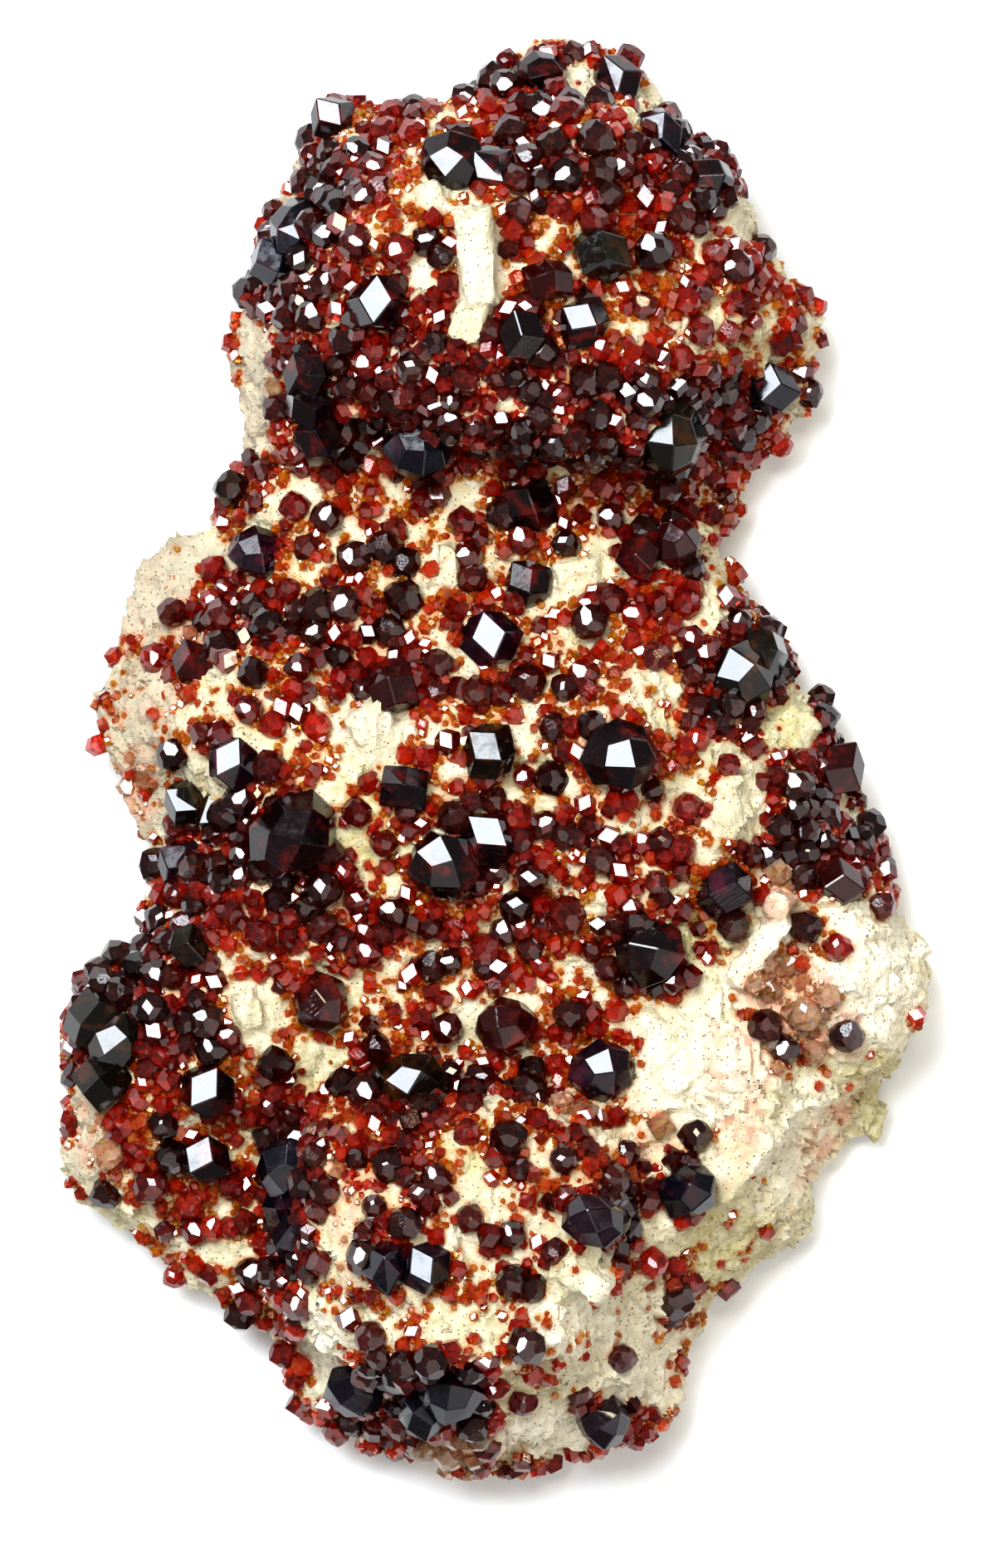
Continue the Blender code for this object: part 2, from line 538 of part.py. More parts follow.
def main():
    clear_scene()
    plate = new_collection("garnet_in_matrix")
    guides = new_collection("cutters_and_guides")
    rock_material = new_material("matrix_rock", ROCK_COLOUR, 0.85)
    garnet_material = new_material("garnet", GARNET_COLOUR, 0.08)
    rock, tree = make_rock(plate)
    rock.data.materials.clear()
    rock.data.materials.append(rock_material)
    small = make_small_garnets(tree, guides, garnet_material)
    blades = make_blades(tree, guides, rock_material)
    seats = make_large_garnets(tree, plate, guides, garnet_material)
    add_boolean(rock, blades, "UNION", overlapping=True)
    add_boolean(rock, small, "UNION", overlapping=True)
    add_boolean(rock, seats, "DIFFERENCE", overlapping=True)


main()
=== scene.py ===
"""Garnet in matrix: the looks of a plate of cream feldspar rock overgrown with dark red garnets.

The rock is shaped from the same outline and forms as the solid, only much finer. The large garnets are the
frame's own solids with a glassy finish, and the thousands of small ones are grown over the rock's skin.
Metres, +Z up out of the crystal side, +Y from the plate's foot to its domed head.
"""

import itertools
import math
import random

import bmesh
import bpy
import numpy as np
from mathutils import Matrix, Vector, noise
from mathutils.bvhtree import BVHTree


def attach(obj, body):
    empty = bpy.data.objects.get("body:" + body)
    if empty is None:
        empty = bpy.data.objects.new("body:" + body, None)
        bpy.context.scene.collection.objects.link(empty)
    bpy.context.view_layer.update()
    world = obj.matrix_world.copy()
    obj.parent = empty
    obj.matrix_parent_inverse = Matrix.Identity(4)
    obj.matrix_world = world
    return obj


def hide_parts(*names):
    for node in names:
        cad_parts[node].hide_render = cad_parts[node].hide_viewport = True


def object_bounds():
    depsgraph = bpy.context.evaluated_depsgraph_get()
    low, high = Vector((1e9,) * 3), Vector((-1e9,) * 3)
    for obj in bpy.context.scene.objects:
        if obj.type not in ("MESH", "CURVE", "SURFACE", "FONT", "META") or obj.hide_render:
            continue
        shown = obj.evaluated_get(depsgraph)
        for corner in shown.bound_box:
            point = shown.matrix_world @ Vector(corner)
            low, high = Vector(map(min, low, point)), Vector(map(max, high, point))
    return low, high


bl_info = {
    "name": "Garnet in matrix",
    "version": (1, 0, 0),
    "blender": (4, 5, 0),
    "location": "View3D > Sidebar > Garnet plate",
    "description": "Grows garnets over a plate of feldspar rock",
    "category": "Add Mesh",
}

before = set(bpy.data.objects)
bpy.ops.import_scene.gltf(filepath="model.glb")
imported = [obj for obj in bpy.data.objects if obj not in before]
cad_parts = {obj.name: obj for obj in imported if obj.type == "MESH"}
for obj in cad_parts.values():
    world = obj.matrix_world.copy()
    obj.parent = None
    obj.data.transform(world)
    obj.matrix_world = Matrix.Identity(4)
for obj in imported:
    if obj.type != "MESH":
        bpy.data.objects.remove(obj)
CAD_BOX = [list(corner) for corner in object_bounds()]

MM = 0.001
BODY = "root"
ROCK_NODE = "matrix"
ROCK_NAME = "matrix_rock"

# The rock's driving sizes, as in the solid
BODY_HEIGHT = 18.0 * MM
RIM_SHARE = 0.42
RIM_RUN = 6.5 * MM
UNDERCUT = 0.11
BASE_CUT = 0.9 * MM
SLAB_HEIGHT = 20.0 * MM
SKIN_STEP = 1.7 * MM
LUMPS = ((17.0 * MM, 3.2 * MM), (6.5 * MM, 1.5 * MM))
ROUGH_FROM = 3.0 * MM

# How the rock's skin is made
OUTLINE_SPREAD = (0.998, 1.008)  # scales the outline across and along, to match the solid's box
ROUNDING = 0.0005 * MM
BOX_MARGIN = 0.05 * MM
LEAN_RUN = 10.0  # millimetres of height over which a wall takes up its lean
ABOVE = 0.1  # height in metres from which rays fall on the plate
UP = Vector((0.0, 0.0, 1.0))
SMOOTH_ANGLE = 38.0  # degrees, up to which neighbouring faces are shaded as one
BLADE_DEPTH = 2.4  # thickness of a blade, as a multiple of how far it stands out
BLADE_SEED = 500

# Broken skin: where it starts over the back, chips by width, depth and place in the noise, cleavage steps
# that run to one side and are strong on the bare slope, grain of the blades, and grit
BROKEN_FROM = 0.3 * MM
BROKEN_RUN = 1.5 * MM
CHIPS = ((4.2 * MM, 1.2 * MM, 0.0), (1.8 * MM, 0.75 * MM, 20.0))
CHIP_SEED = 11  # noise_vector differs from run to run unless it is seeded
STEP_WIDTH = 2.3 * MM
STEP_RISE = 0.65 * MM
STEP_SIDE = (0.78, 0.62)
STEP_WANDER = 5.0 * MM
STEP_PATCH = 14.0 * MM
BARE_SLOPE = (28.0 * MM, -42.0 * MM)
BARE_SLOPE_REACH = 15.0 * MM
GRAIN = (0.7 * MM, 3.5 * MM, 2.0 * MM)
GRAIN_RISE = 0.45 * MM
GRIT_WIDTH = 1.3 * MM
GRIT_RISE = 0.26 * MM
SUNK = 0.25 * MM

# Outline of the plate seen from above, clockwise from the top of the head, in millimetres
OUTLINE_MM = (
    (7.5, 87.2), (15.0, 85.8), (18.3, 82.8), (21.8, 77.0), (23.3, 73.6), (26.6, 72.2), (29.6, 68.3),
    (31.2, 66.0), (31.2, 63.8), (34.2, 58.8), (36.8, 53.0), (35.9, 48.6), (35.8, 43.8), (34.2, 40.4),
    (33.4, 38.1), (29.3, 36.0), (27.8, 32.0), (27.4, 28.6), (26.2, 25.6), (27.8, 21.3), (30.4, 18.2),
    (33.4, 13.8), (33.4, 11.0), (36.5, 7.3), (40.0, 2.8), (42.6, -0.2), (43.0, -2.7), (45.0, -7.4),
    (47.4, -13.2), (49.2, -17.4), (52.9, -21.2), (54.0, -25.4), (53.0, -30.2), (50.4, -35.4),
    (47.8, -40.0), (46.2, -45.0), (43.0, -48.4), (39.2, -51.7), (38.3, -56.0), (35.0, -58.4),
    (29.5, -62.2), (25.8, -66.0), (24.2, -69.5), (21.7, -71.8), (21.8, -75.0), (19.8, -78.7),
    (16.3, -81.0), (11.0, -83.0), (4.0, -85.4), (-2.5, -88.0), (-5.0, -88.7), (-10.5, -84.8),
    (-15.2, -82.8), (-20.5, -79.4), (-23.6, -75.4), (-24.8, -70.0), (-28.0, -68.0), (-32.2, -65.2),
    (-37.2, -63.2), (-39.6, -60.2), (-44.2, -58.2), (-48.0, -56.2), (-51.4, -53.6), (-51.6, -47.7),
    (-51.2, -42.7), (-50.6, -39.2), (-51.8, -36.2), (-52.0, -32.2), (-50.4, -27.4), (-46.8, -23.7),
    (-44.2, -21.2), (-43.9, -17.7), (-44.6, -12.7), (-46.1, -8.2), (-47.4, -2.2), (-48.4, 2.8),
    (-49.4, 6.1), (-47.4, 9.6), (-45.3, 11.8), (-45.9, 15.3), (-45.6, 20.3), (-44.2, 23.6),
    (-41.4, 27.2), (-36.2, 29.2), (-33.9, 31.8), (-31.6, 36.3), (-31.2, 42.8), (-30.8, 48.6),
    (-29.0, 53.3), (-28.2, 57.8), (-28.3, 63.3), (-27.1, 67.8), (-26.8, 70.3), (-24.3, 73.6),
    (-21.8, 77.4), (-19.8, 79.4), (-17.3, 79.0), (-14.8, 77.4), (-11.5, 79.3), (-7.5, 78.5),
    (-3.8, 79.7), (-0.2, 82.2), (4.0, 85.4),
)
# Middle line of the plate, towards which its walls are undercut
CORE_MM = ((1.0, 64.0), (-1.0, 32.0), (-3.0, 4.0), (2.0, -30.0), (-3.0, -68.0))

# Forms of the relief, in millimetres: middle x and y, half length along x and y before the turn, turn in
# degrees, rise, squareness (2 round, 6 a block), and wall (0.1 steep, 1 gentle)
FORMS_MM = {
    "head dome": (3.0, 60.5, 32.0, 22.0, -12, 11.0, 2.6, 0.24),
    "head crown": (-2.0, 57.5, 19.0, 15.0, 10, 3.5, 2.0, 0.80),
    "upper left lobe": (-19.0, 72.0, 9.0, 9.0, 0, 2.5, 2.0, 0.70),
    "neck": (3.0, 30.0, 26.0, 7.5, 0, -3.0, 2.5, 0.80),
    "left lobe": (-39.0, 20.0, 9.0, 9.0, 0, -5.0, 2.5, 0.60),
    "left flank": (-44.0, 2.0, 7.0, 15.0, 0, -5.0, 2.5, 0.80),
    "left swelling": (-26.0, -7.0, 17.0, 15.0, 0, 4.0, 2.0, 0.90),
    "middle swelling": (-3.0, 8.0, 14.0, 16.0, 0, 3.0, 2.0, 0.90),
    "right dome": (24.0, 0.0, 17.0, 19.0, -20, 6.5, 2.0, 0.70),
    "folded lump": (28.8, -5.6, 4.2, 5.6, 0, 3.2, 3.0, 0.30),
    "lower left lobe": (-43.0, -35.0, 10.0, 13.0, 0, 4.0, 2.0, 0.80),
    "lower left hollow": (-33.0, -52.0, 9.0, 12.0, 20, -4.0, 2.5, 0.60),
    "foot block": (-6.0, -57.0, 18.5, 15.5, -6, 12.5, 4.5, 0.16),
    "foot block top": (-4.0, -61.0, 12.0, 10.0, 0, 3.0, 2.0, 0.80),
    "foot block right end": (15.0, -62.0, 9.0, 12.0, -25, 6.0, 3.0, 0.30),
    "foot apron": (-4.0, -78.0, 17.0, 9.0, 0, 5.0, 2.5, 0.50),
    "bare slope": (27.0, -42.0, 13.0, 12.0, 35, 2.5, 2.5, 0.50),
    "bare dome": (45.5, -27.0, 7.5, 10.0, 15, 4.5, 2.5, 0.45),
    "right shelf": (47.0, -47.5, 9.0, 9.0, 35, -7.5, 5.0, 0.14),
    "lower shelf": (38.0, -59.5, 7.0, 4.5, 30, -6.0, 5.0, 0.20),
}
# Where a form's upper part leans over, in millimetres: x, y, reach, height from which it leans, and lean
LEANS_MM = (
    (8.0, 41.0, 20.0, 20.0, (0.5, -2.6)),
    (-24.0, -56.0, 13.0, 20.0, (-2.0, -0.4)),
    (20.0, 8.0, 14.0, 18.0, (1.2, 0.6)),
)

# Bare blades and blocks, in millimetres: x, y, length, width, how far they stand out, turn and tilt
BLADES_MM = (
    (-2.4, 60.0, 13.5, 5.2, 3.6, 6, 6),
    (-3.4, 52.6, 6.0, 4.6, 2.4, -18, 8),
    (-7.8, 67.2, 4.6, 3.4, 1.6, 25, 4),
    (-6.2, 23.8, 5.8, 2.7, 2.4, -3, 4),
    (9.6, 22.6, 4.6, 6.2, 1.6, 10, 5),
    (-15.0, 4.0, 7.6, 6.4, 2.6, 32, 9),
    (31.4, -22.6, 12.6, 3.4, 3.4, -40, 4),
    (33.8, -17.0, 3.8, 3.6, 4.0, -35, 6),
    (36.0, 4.6, 6.0, 4.6, 1.8, 48, 7),
    (-30.0, -29.8, 6.0, 4.2, 1.8, 20, 6),
    (29.0, -48.5, 12.0, 4.4, 1.8, -38, 5),
    (22.5, -36.5, 9.0, 5.0, 1.5, -42, 5),
    (10.0, -61.5, 8.0, 4.0, 2.2, 58, 6),
)

# Middling garnets grown into the rock, in millimetres: x, y, size. The first ones are joined to the solid.
MIDDLING_MM = (
    (-21.0, 68.4, 4.5), (-16.7, 61.8, 4.5), (1.4, 75.4, 4.4), (7.0, 73.6, 4.2), (12.0, 74.3, 5.0),
    (8.0, 69.4, 4.4), (13.0, 67.8, 4.0), (18.5, 60.8, 5.0), (27.0, 44.8, 4.2), (-20.5, 29.6, 4.0),
    (-17.4, 24.8, 4.2), (-33.4, 17.4, 4.8), (-27.8, 16.4, 4.5), (-22.0, 18.6, 4.8), (-11.2, 19.6, 4.8),
    (11.0, 17.0, 4.6), (10.0, 10.4, 4.0), (-23.0, -17.4, 4.2), (-28.5, -21.0, 4.0), (-2.2, 8.4, 4.2),
    (3.6, 9.6, 4.6), (6.9, -2.0, 4.4), (3.6, -14.0, 4.2), (8.6, -18.0, 4.8), (37.2, -20.2, 4.2),
    (-27.0, -36.4, 4.4), (-43.0, -25.0, 4.6), (-41.8, -51.0, 4.6), (8.6, -30.4, 4.2), (-13.0, -48.0, 4.2),
    (24.0, -45.0, 4.0), (1.8, -62.0, 4.5), (32.2, -31.6, 4.4), (37.2, -30.0, 4.4), (42.0, -33.0, 4.2),
    (3.4, -69.4, 4.8), (-5.6, -83.6, 4.2),
    (-25.0, 53.8, 4.0), (-10.2, 75.2, 3.8), (2.6, 65.4, 3.8), (21.8, 65.2, 4.0), (26.0, 60.8, 3.6),
    (29.0, 55.2, 3.6), (24.0, 51.8, 3.8), (17.4, 54.6, 3.6), (-10.0, 47.0, 4.0), (-4.0, 45.6, 3.6),
    (13.0, 46.0, 3.8), (4.0, 44.4, 3.6), (-17.0, 73.4, 3.6), (-15.6, 67.2, 3.6), (-20.4, 57.4, 3.6),
    (-15.6, 47.8, 3.8), (-24.5, 31.0, 3.6), (-27.6, 35.2, 3.6), (-12.6, 27.8, 3.4), (-39.5, 18.0, 3.8),
    (-34.5, 23.4, 3.5), (-41.4, 12.6, 3.8), (-9.0, 31.4, 3.5), (13.4, 29.6, 3.6), (-3.0, 22.0, 4.0),
    (16.6, 17.6, 3.6), (22.6, 19.2, 3.8), (19.0, 12.6, 3.8), (-36.4, -17.2, 3.6), (-17.0, -16.7, 3.4),
    (5.8, -7.6, 3.8), (-12.6, -18.0, 4.0), (0.5, -20.4, 3.6), (6.6, 4.3, 3.6), (19.5, -9.7, 3.4),
    (37.0, -11.0, 3.6), (46.2, -17.6, 3.6), (-24.0, 11.0, 3.4), (-19.0, 12.8, 3.4), (-30.0, 6.4, 3.6),
    (-17.0, -6.0, 3.6), (-37.6, -31.2, 3.6), (-40.6, -44.0, 4.0), (-47.0, -47.2, 4.0), (-47.2, -52.0, 3.8),
    (-36.5, -56.7, 3.6), (-29.8, -61.7, 4.0), (-3.8, -44.6, 3.6), (-7.4, -49.6, 4.0), (18.4, -60.0, 3.8),
    (7.6, -47.4, 3.6), (15.0, -47.2, 3.6), (21.2, -66.4, 4.0), (3.0, -76.6, 3.6), (14.8, -71.8, 3.6),
    (-3.4, -54.4, 3.6), (2.6, -48.8, 3.4), (-15.2, -68.6, 3.8), (-27.0, 4.6, 3.4), (-8.0, -24.6, 4.0),
    (-14.6, -34.6, 4.0), (12.4, -11.4, 3.8), (22.6, -5.4, 3.8), (-27.0, 66.8, 3.0), (-32.3, 33.0, 4.5),
    (-33.2, 21.0, 3.2), (27.8, -0.6, 3.0),
)

# Bare stretches where few garnets grow, in millimetres: x, y, half length, half width, turn, how bare
BARE_MM = (
    (-2.2, 60.5, 7.0, 2.7, 96, 1.0), (-7.6, 67.2, 2.6, 1.8, 0, 0.9), (-9.0, 59.0, 1.6, 3.8, 0, 0.9),
    (9.7, 82.0, 2.6, 3.0, 0, 0.9), (17.8, 79.4, 2.2, 3.0, 0, 0.8), (29.5, 65.4, 2.4, 3.6, 0, 1.0),
    (32.0, 50.6, 1.6, 3.4, 0, 0.8), (29.8, 48.0, 2.0, 1.4, 0, 0.7), (-25.6, 71.8, 2.4, 3.6, -25, 1.0),
    (-29.4, 46.0, 2.2, 9.0, 4, 1.0), (-21.4, 58.0, 1.4, 2.4, 0, 0.7), (-4.4, 33.0, 2.6, 3.0, 0, 0.7),
    (-13.0, 31.6, 1.6, 3.6, 0, 0.6), (-6.2, 23.8, 1.8, 3.4, 0, 1.0), (11.0, 23.6, 3.6, 2.8, 0, 0.9),
    (13.2, 29.6, 3.0, 1.6, 0, 0.8), (14.2, 41.0, 1.6, 2.0, 0, 0.6), (-14.6, 15.4, 2.8, 2.8, 0, 0.6),
    (25.6, 24.0, 2.4, 4.6, 0, 0.8), (25.0, 17.8, 3.0, 2.2, 0, 0.8), (-41.6, 21.0, 5.0, 6.6, -25, 0.93),
    (-36.6, 27.0, 3.0, 2.6, 0, 1.0), (-44.0, 6.0, 5.2, 8.6, 0, 0.72), (-42.8, -6.5, 3.4, 8.0, 0, 0.65),
    (-15.0, 3.8, 4.2, 4.4, 0, 1.0), (-34.5, 7.4, 3.4, 2.2, 0, 0.6), (-25.0, 3.0, 3.4, 1.8, 0, 0.6),
    (-16.0, -8.2, 3.2, 5.0, 0, 0.8), (4.0, 1.6, 2.6, 2.8, 0, 0.6), (14.0, 6.8, 2.4, 2.0, 0, 0.6),
    (20.4, -7.4, 1.6, 3.4, 0, 0.7), (28.8, -5.4, 3.4, 4.8, 0, 1.0), (29.0, 0.4, 4.6, 1.5, -20, 0.8),
    (34.6, 4.2, 3.4, 2.8, 40, 1.0), (36.0, 8.0, 2.4, 2.2, 0, 0.8), (42.4, -6.4, 1.6, 3.2, 0, 0.7),
    (31.2, -22.2, 7.4, 2.5, 50, 1.0), (24.0, -21.8, 3.4, 4.4, 0, 0.5), (-30.0, -28.8, 3.4, 3.4, 0, 0.9),
    (-29.0, -34.6, 2.8, 2.2, 0, 0.7), (-22.5, -36.8, 2.6, 3.6, 0, 0.8), (-3.4, -30.8, 2.8, 2.8, 0, 0.8),
    (-36.0, -43.8, 4.2, 1.2, 0, 0.6), (-48.4, -53.0, 3.0, 3.6, 0, 0.9), (-33.0, -59.8, 3.8, 1.6, 0, 1.0),
    (24.0, -36.0, 9.5, 8.0, -20, 1.0), (32.0, -47.0, 8.0, 11.0, -30, 1.0), (20.0, -42.0, 5.0, 6.0, 0, 0.7),
    (42.0, -39.0, 5.0, 4.6, 0, 0.9), (47.0, -24.5, 7.4, 8.4, 10, 1.0), (46.0, -34.0, 5.0, 6.0, 30, 1.0),
    (45.0, -46.5, 4.4, 8.0, -35, 1.0), (36.5, -57.5, 6.6, 4.0, 40, 1.0), (28.5, -59.0, 4.0, 5.0, -30, 0.9),
    (-19.4, -55.4, 2.0, 8.4, 6, 0.8), (7.8, -55.4, 3.2, 3.2, 0, 0.8), (-3.6, -56.0, 2.8, 2.2, 0, 1.0),
    (-2.6, -67.0, 4.2, 2.6, 0, 0.7), (14.5, -70.5, 6.6, 7.6, 0, 0.85), (19.0, -76.0, 4.0, 3.0, 0, 0.9),
    (-8.5, -85.0, 3.0, 1.6, 0, 0.8), (6.0, -81.0, 6.2, 3.4, 0, 1.0),
    (-21.6, -70.6, 2.6, 6.0, 0, 1.0), (4.5, -76.0, 5.0, 3.0, 0, 0.8), (22.0, -56.5, 3.0, 3.6, 0, 0.6),
    (-50.0, -46.0, 2.4, 6.0, 0, 0.8), (-47.5, -54.0, 5.0, 2.4, -20, 0.9), (-33.0, -59.6, 4.0, 1.8, 0, 1.0),
    (-1.0, -52.0, 6.0, 4.0, 0, 0.45), (8.0, -70.0, 5.0, 5.0, 0, 0.8), (0.0, -57.5, 7.0, 3.0, 0, 0.45),
    (10.0, -62.0, 6.0, 3.0, 58, 0.9), (17.0, -66.0, 3.5, 5.0, 0, 0.9), (-4.0, -66.0, 6.0, 2.2, 0, 0.6),
)

# More such stretches, with how much in place of how bare: where the garnets are mostly dark, partly painted
# shade as in the band under the head, where they stand dense, where rock and garnets have a pink blush, where
# the rock is khaki, partly painted shade, where painted shade dulls the side that faces the key light, and
# where the rock is paler, painted light where the key falls weakly and the whiter rock of the head's blade
DARK_AND_SHADE_MM = (
    (6.0, 42.0, 27.0, 6.0, -4, 1.0), (-24.5, 58.0, 5.0, 12.0, 0, 1.0), (8.0, 82.0, 9.0, 4.0, 0, 0.8),
    (25.0, 70.0, 6.0, 9.0, 30, 0.9), (-10.0, 52.0, 12.0, 8.0, 0, 0.8), (-43.0, -28.0, 9.0, 9.0, 0, 0.9),
    (-28.0, -11.0, 14.0, 8.0, 0, 0.8), (-24.0, -51.0, 4.5, 13.0, 0, 1.0), (-9.0, -75.5, 12.0, 5.0, 0, 0.8),
    (-15.0, 13.0, 9.0, 5.0, -20, 0.8), (4.0, -11.0, 14.0, 5.0, 0, 0.4), (38.0, -9.0, 8.0, 8.0, 0, 0.9),
    (29.0, 9.0, 7.0, 9.0, 30, 0.8), (18.0, -22.0, 6.0, 5.0, 0, 0.9), (-30.0, 17.0, 10.0, 4.0, 0, 0.9),
    (-20.0, -20.0, 18.0, 4.0, -8, 0.4), (21.0, 26.0, 7.0, 4.0, 0, 0.8), (-21.0, 42.0, 6.0, 7.0, 0, 0.9),
    (6.0, 72.0, 12.0, 4.0, 0, 0.7), (-22.0, 70.0, 7.0, 6.0, 0, 0.7), (11.0, -54.0, 6.0, 5.0, 0, 0.8),
    (-10.0, -39.0, 10.0, 4.0, 0, 0.7), (36.0, 3.0, 6.0, 14.0, 25, 1.0), (-9.0, -80.0, 10.0, 4.0, 0, 0.8),
    (-12.0, -52.0, 6.0, 6.0, 0, 0.7), (4.0, -58.0, 6.0, 4.0, 0, 0.6), (20.0, -50.0, 4.0, 5.0, 0, 0.8),
    (10.0, -79.0, 6.0, 3.0, 0, 0.8),
)
DENSE_MM = (
    (3.0, 61.0, 27.0, 19.0, -10, 0.55), (20.0, 24.0, 9.0, 9.0, 0, 0.6), (4.0, 33.0, 22.0, 6.0, 0, 0.5),
    (-2.0, 12.0, 12.0, 9.0, 0, 0.2), (-36.0, -40.0, 14.0, 14.0, 0, 0.8), (34.0, -4.0, 8.0, 12.0, 0, 0.8),
    (-5.0, -20.0, 20.0, 7.0, 0, 0.15), (24.0, 34.0, 7.0, 8.0, 0, 1.0), (-10.0, -40.0, 12.0, 5.0, 0, 0.6),
)
BLUSH_MM = (
    (36.0, -29.0, 8.0, 4.6, -35, 1.0), (29.0, -45.0, 2.5, 6.0, -20, 0.8), (34.4, -16.4, 2.4, 3.2, -30, 1.0),
    (-49.0, -45.0, 2.5, 4.0, 0, 0.8), (-44.5, -4.0, 3.0, 6.0, 0, 0.7), (-5.0, -84.0, 5.0, 4.0, 0, 0.9),
    (40.0, -45.0, 2.0, 7.0, -30, 0.7), (12.0, -40.0, 5.0, 3.0, 0, 0.4), (-18.5, -53.0, 1.8, 9.0, 6, 0.6),
    (26.0, -38.0, 1.4, 3.0, 0, 0.7), (30.0, -35.0, 5.0, 3.0, -30, 0.8), (18.0, -45.0, 4.0, 3.0, 0, 0.4),
    (-43.0, 15.0, 6.0, 14.0, 0, 0.18), (-29.5, 46.0, 3.0, 10.0, 0, 0.18),
)
KHAKI_AND_SHADE_MM = (
    (47.5, -41.0, 7.0, 12.0, -25, 1.0), (52.0, -26.0, 2.5, 11.0, 0, 0.8), (23.5, -20.0, 4.0, 5.0, 0, 0.9),
    (-16.0, -8.5, 4.0, 7.0, 0, 0.8), (-22.5, -36.5, 4.0, 5.0, 0, 0.9), (33.0, 4.6, 4.0, 4.0, 0, 0.8),
    (28.0, -57.0, 5.0, 8.0, -35, 0.8), (14.0, -37.0, 3.0, 3.0, 0, 0.7), (-26.0, 22.0, 3.0, 3.0, 0, 0.7),
    (33.0, 50.0, 3.0, 6.0, 0, 0.6), (17.0, 66.0, 6.0, 5.0, 0, 0.4), (-6.0, -46.0, 8.0, 4.0, 0, 0.6),
    (2.0, -22.0, 8.0, 4.0, 0, 0.5), (24.0, 3.0, 8.0, 4.0, 0, 0.5),
)
DULL_SHADE_MM = (
    (-42.0, 20.0, 9.0, 10.0, 0, 1.0), (-45.5, 2.0, 7.0, 14.0, 0, 1.0), (-30.0, 46.0, 4.0, 11.0, 0, 0.9),
    (-25.5, 71.5, 3.0, 5.0, -25, 0.8), (-50.0, -46.0, 3.0, 8.0, 0, 0.7),
)
CLEAN_AND_PAINTED_LIGHT_MM = (
    (46.0, -27.0, 7.0, 9.0, 10, 1.0), (25.0, -37.0, 8.0, 7.0, -20, 0.7), (37.0, -46.0, 5.0, 9.0, -35, 0.8),
    (31.0, -24.0, 2.2, 7.0, -40, 0.9), (7.0, -80.5, 7.0, 3.6, 0, 1.0), (19.0, -72.0, 4.0, 7.0, 0, 0.8),
    (-21.5, -71.0, 3.0, 6.0, 0, 0.9), (12.0, -67.0, 7.0, 5.0, 0, 0.6), (-2.2, 60.5, 3.0, 7.0, 6, 0.4),
)

# Casts of the large garnets: colour, painted glow colour as of light through thin parts, colour where
# frosted, and share of light let through
CASTS = {
    "purple": ((0.014, 0.004, 0.009), (0.13, 0.012, 0.03), (0.09, 0.05, 0.075), 0.3),
    "blue_black": ((0.006, 0.005, 0.010), (0.06, 0.010, 0.02), (0.06, 0.06, 0.085), 0.2),
    "green_black": ((0.010, 0.007, 0.005), (0.09, 0.03, 0.008), (0.075, 0.065, 0.04), 0.2),
    "deep_red": ((0.045, 0.004, 0.004), (0.26, 0.015, 0.008), (0.10, 0.035, 0.035), 0.4),
    "dark": ((0.010, 0.003, 0.004), (0.20, 0.012, 0.008), (0.045, 0.020, 0.023), 0.3),
}

# Nodes of the large garnets by cast. All others are dark.
CAST_NODES = {
    "purple": (
        "garnet_right_purple", "garnet_foot_right", "garnet_left_upper", "garnet_chest_lavender",
        "garnet_lower_white", "garnet_neck_shard", "garnet_block_right", "garnet_left_lower",
    ),
    "blue_black": (
        "garnet_head_pair_left", "garnet_head_blue", "garnet_wall_group", "garnet_foot_pair",
        "garnet_foot_left", "garnet_block_pair", "garnet_lower_black", "garnet_neck_left",
        "garnet_head_right_rim",
    ),
    "green_black": (
        "garnet_head_green", "garnet_right_trio", "garnet_left_green", "garnet_block_edge",
        "garnet_neck_right", "garnet_rim_trio", "garnet_left_pair", "garnet_middle_striped",
    ),
    "deep_red": (
        "garnet_lower_red", "garnet_left_flat", "garnet_chest_left", "garnet_right_rim",
        "garnet_neck_pair_right", "garnet_head_beside_blade", "garnet_lower_dark", "garnet_right_lower",
    ),
}

# Garnets are grown in stages: tries, smallest and largest size in millimetres, group, how near two may
# stand, where gaps begin, how strictly bare rock is kept bare, and how much dark stretches are favoured
GROWTH_STAGES = (
    (1000, 2.9, 4.6, "middling", 0.62, -0.06, 1.0, 3.0),
    (3600, 1.8, 3.0, "small", 0.62, -0.09, 1.0, 0.8),
    (8000, 1.1, 1.9, "small", 0.66, -0.13, 0.97, 0.0),
    (22000, 0.55, 1.15, "tiny", 0.68, -0.30, 0.94, -0.4),
)

GROWTH_SEED = 77
DRAW_SEED = 42
GROWTH_CELL = 4.0 * MM  # side of the cells that neighbours are looked up in
BRIGHT_SHARES = {"tiny": 0.04, "small": 0.06, "middling": 0.12}  # of crystals that flash in the light

# Forms of the small garnets: group, faces, and how unevenly the faces are grown
CRYSTAL_FORMS = (("tiny", "rhombs", 0.09), ("small", "rhombs", 0.11), ("middling", "both", 0.05))
CRYSTAL_KINDS = 4  # different crystals of each group
BLANK = 3.0  # side of the cube that a crystal is cut from, where its faces lie 1 from the middle
BULGE = 1.08  # how far a crystal's corners stand out, as its size is a mean one
RHOMB_DISTANCE = 1.03  # of the rhombs beside the kites, at 1

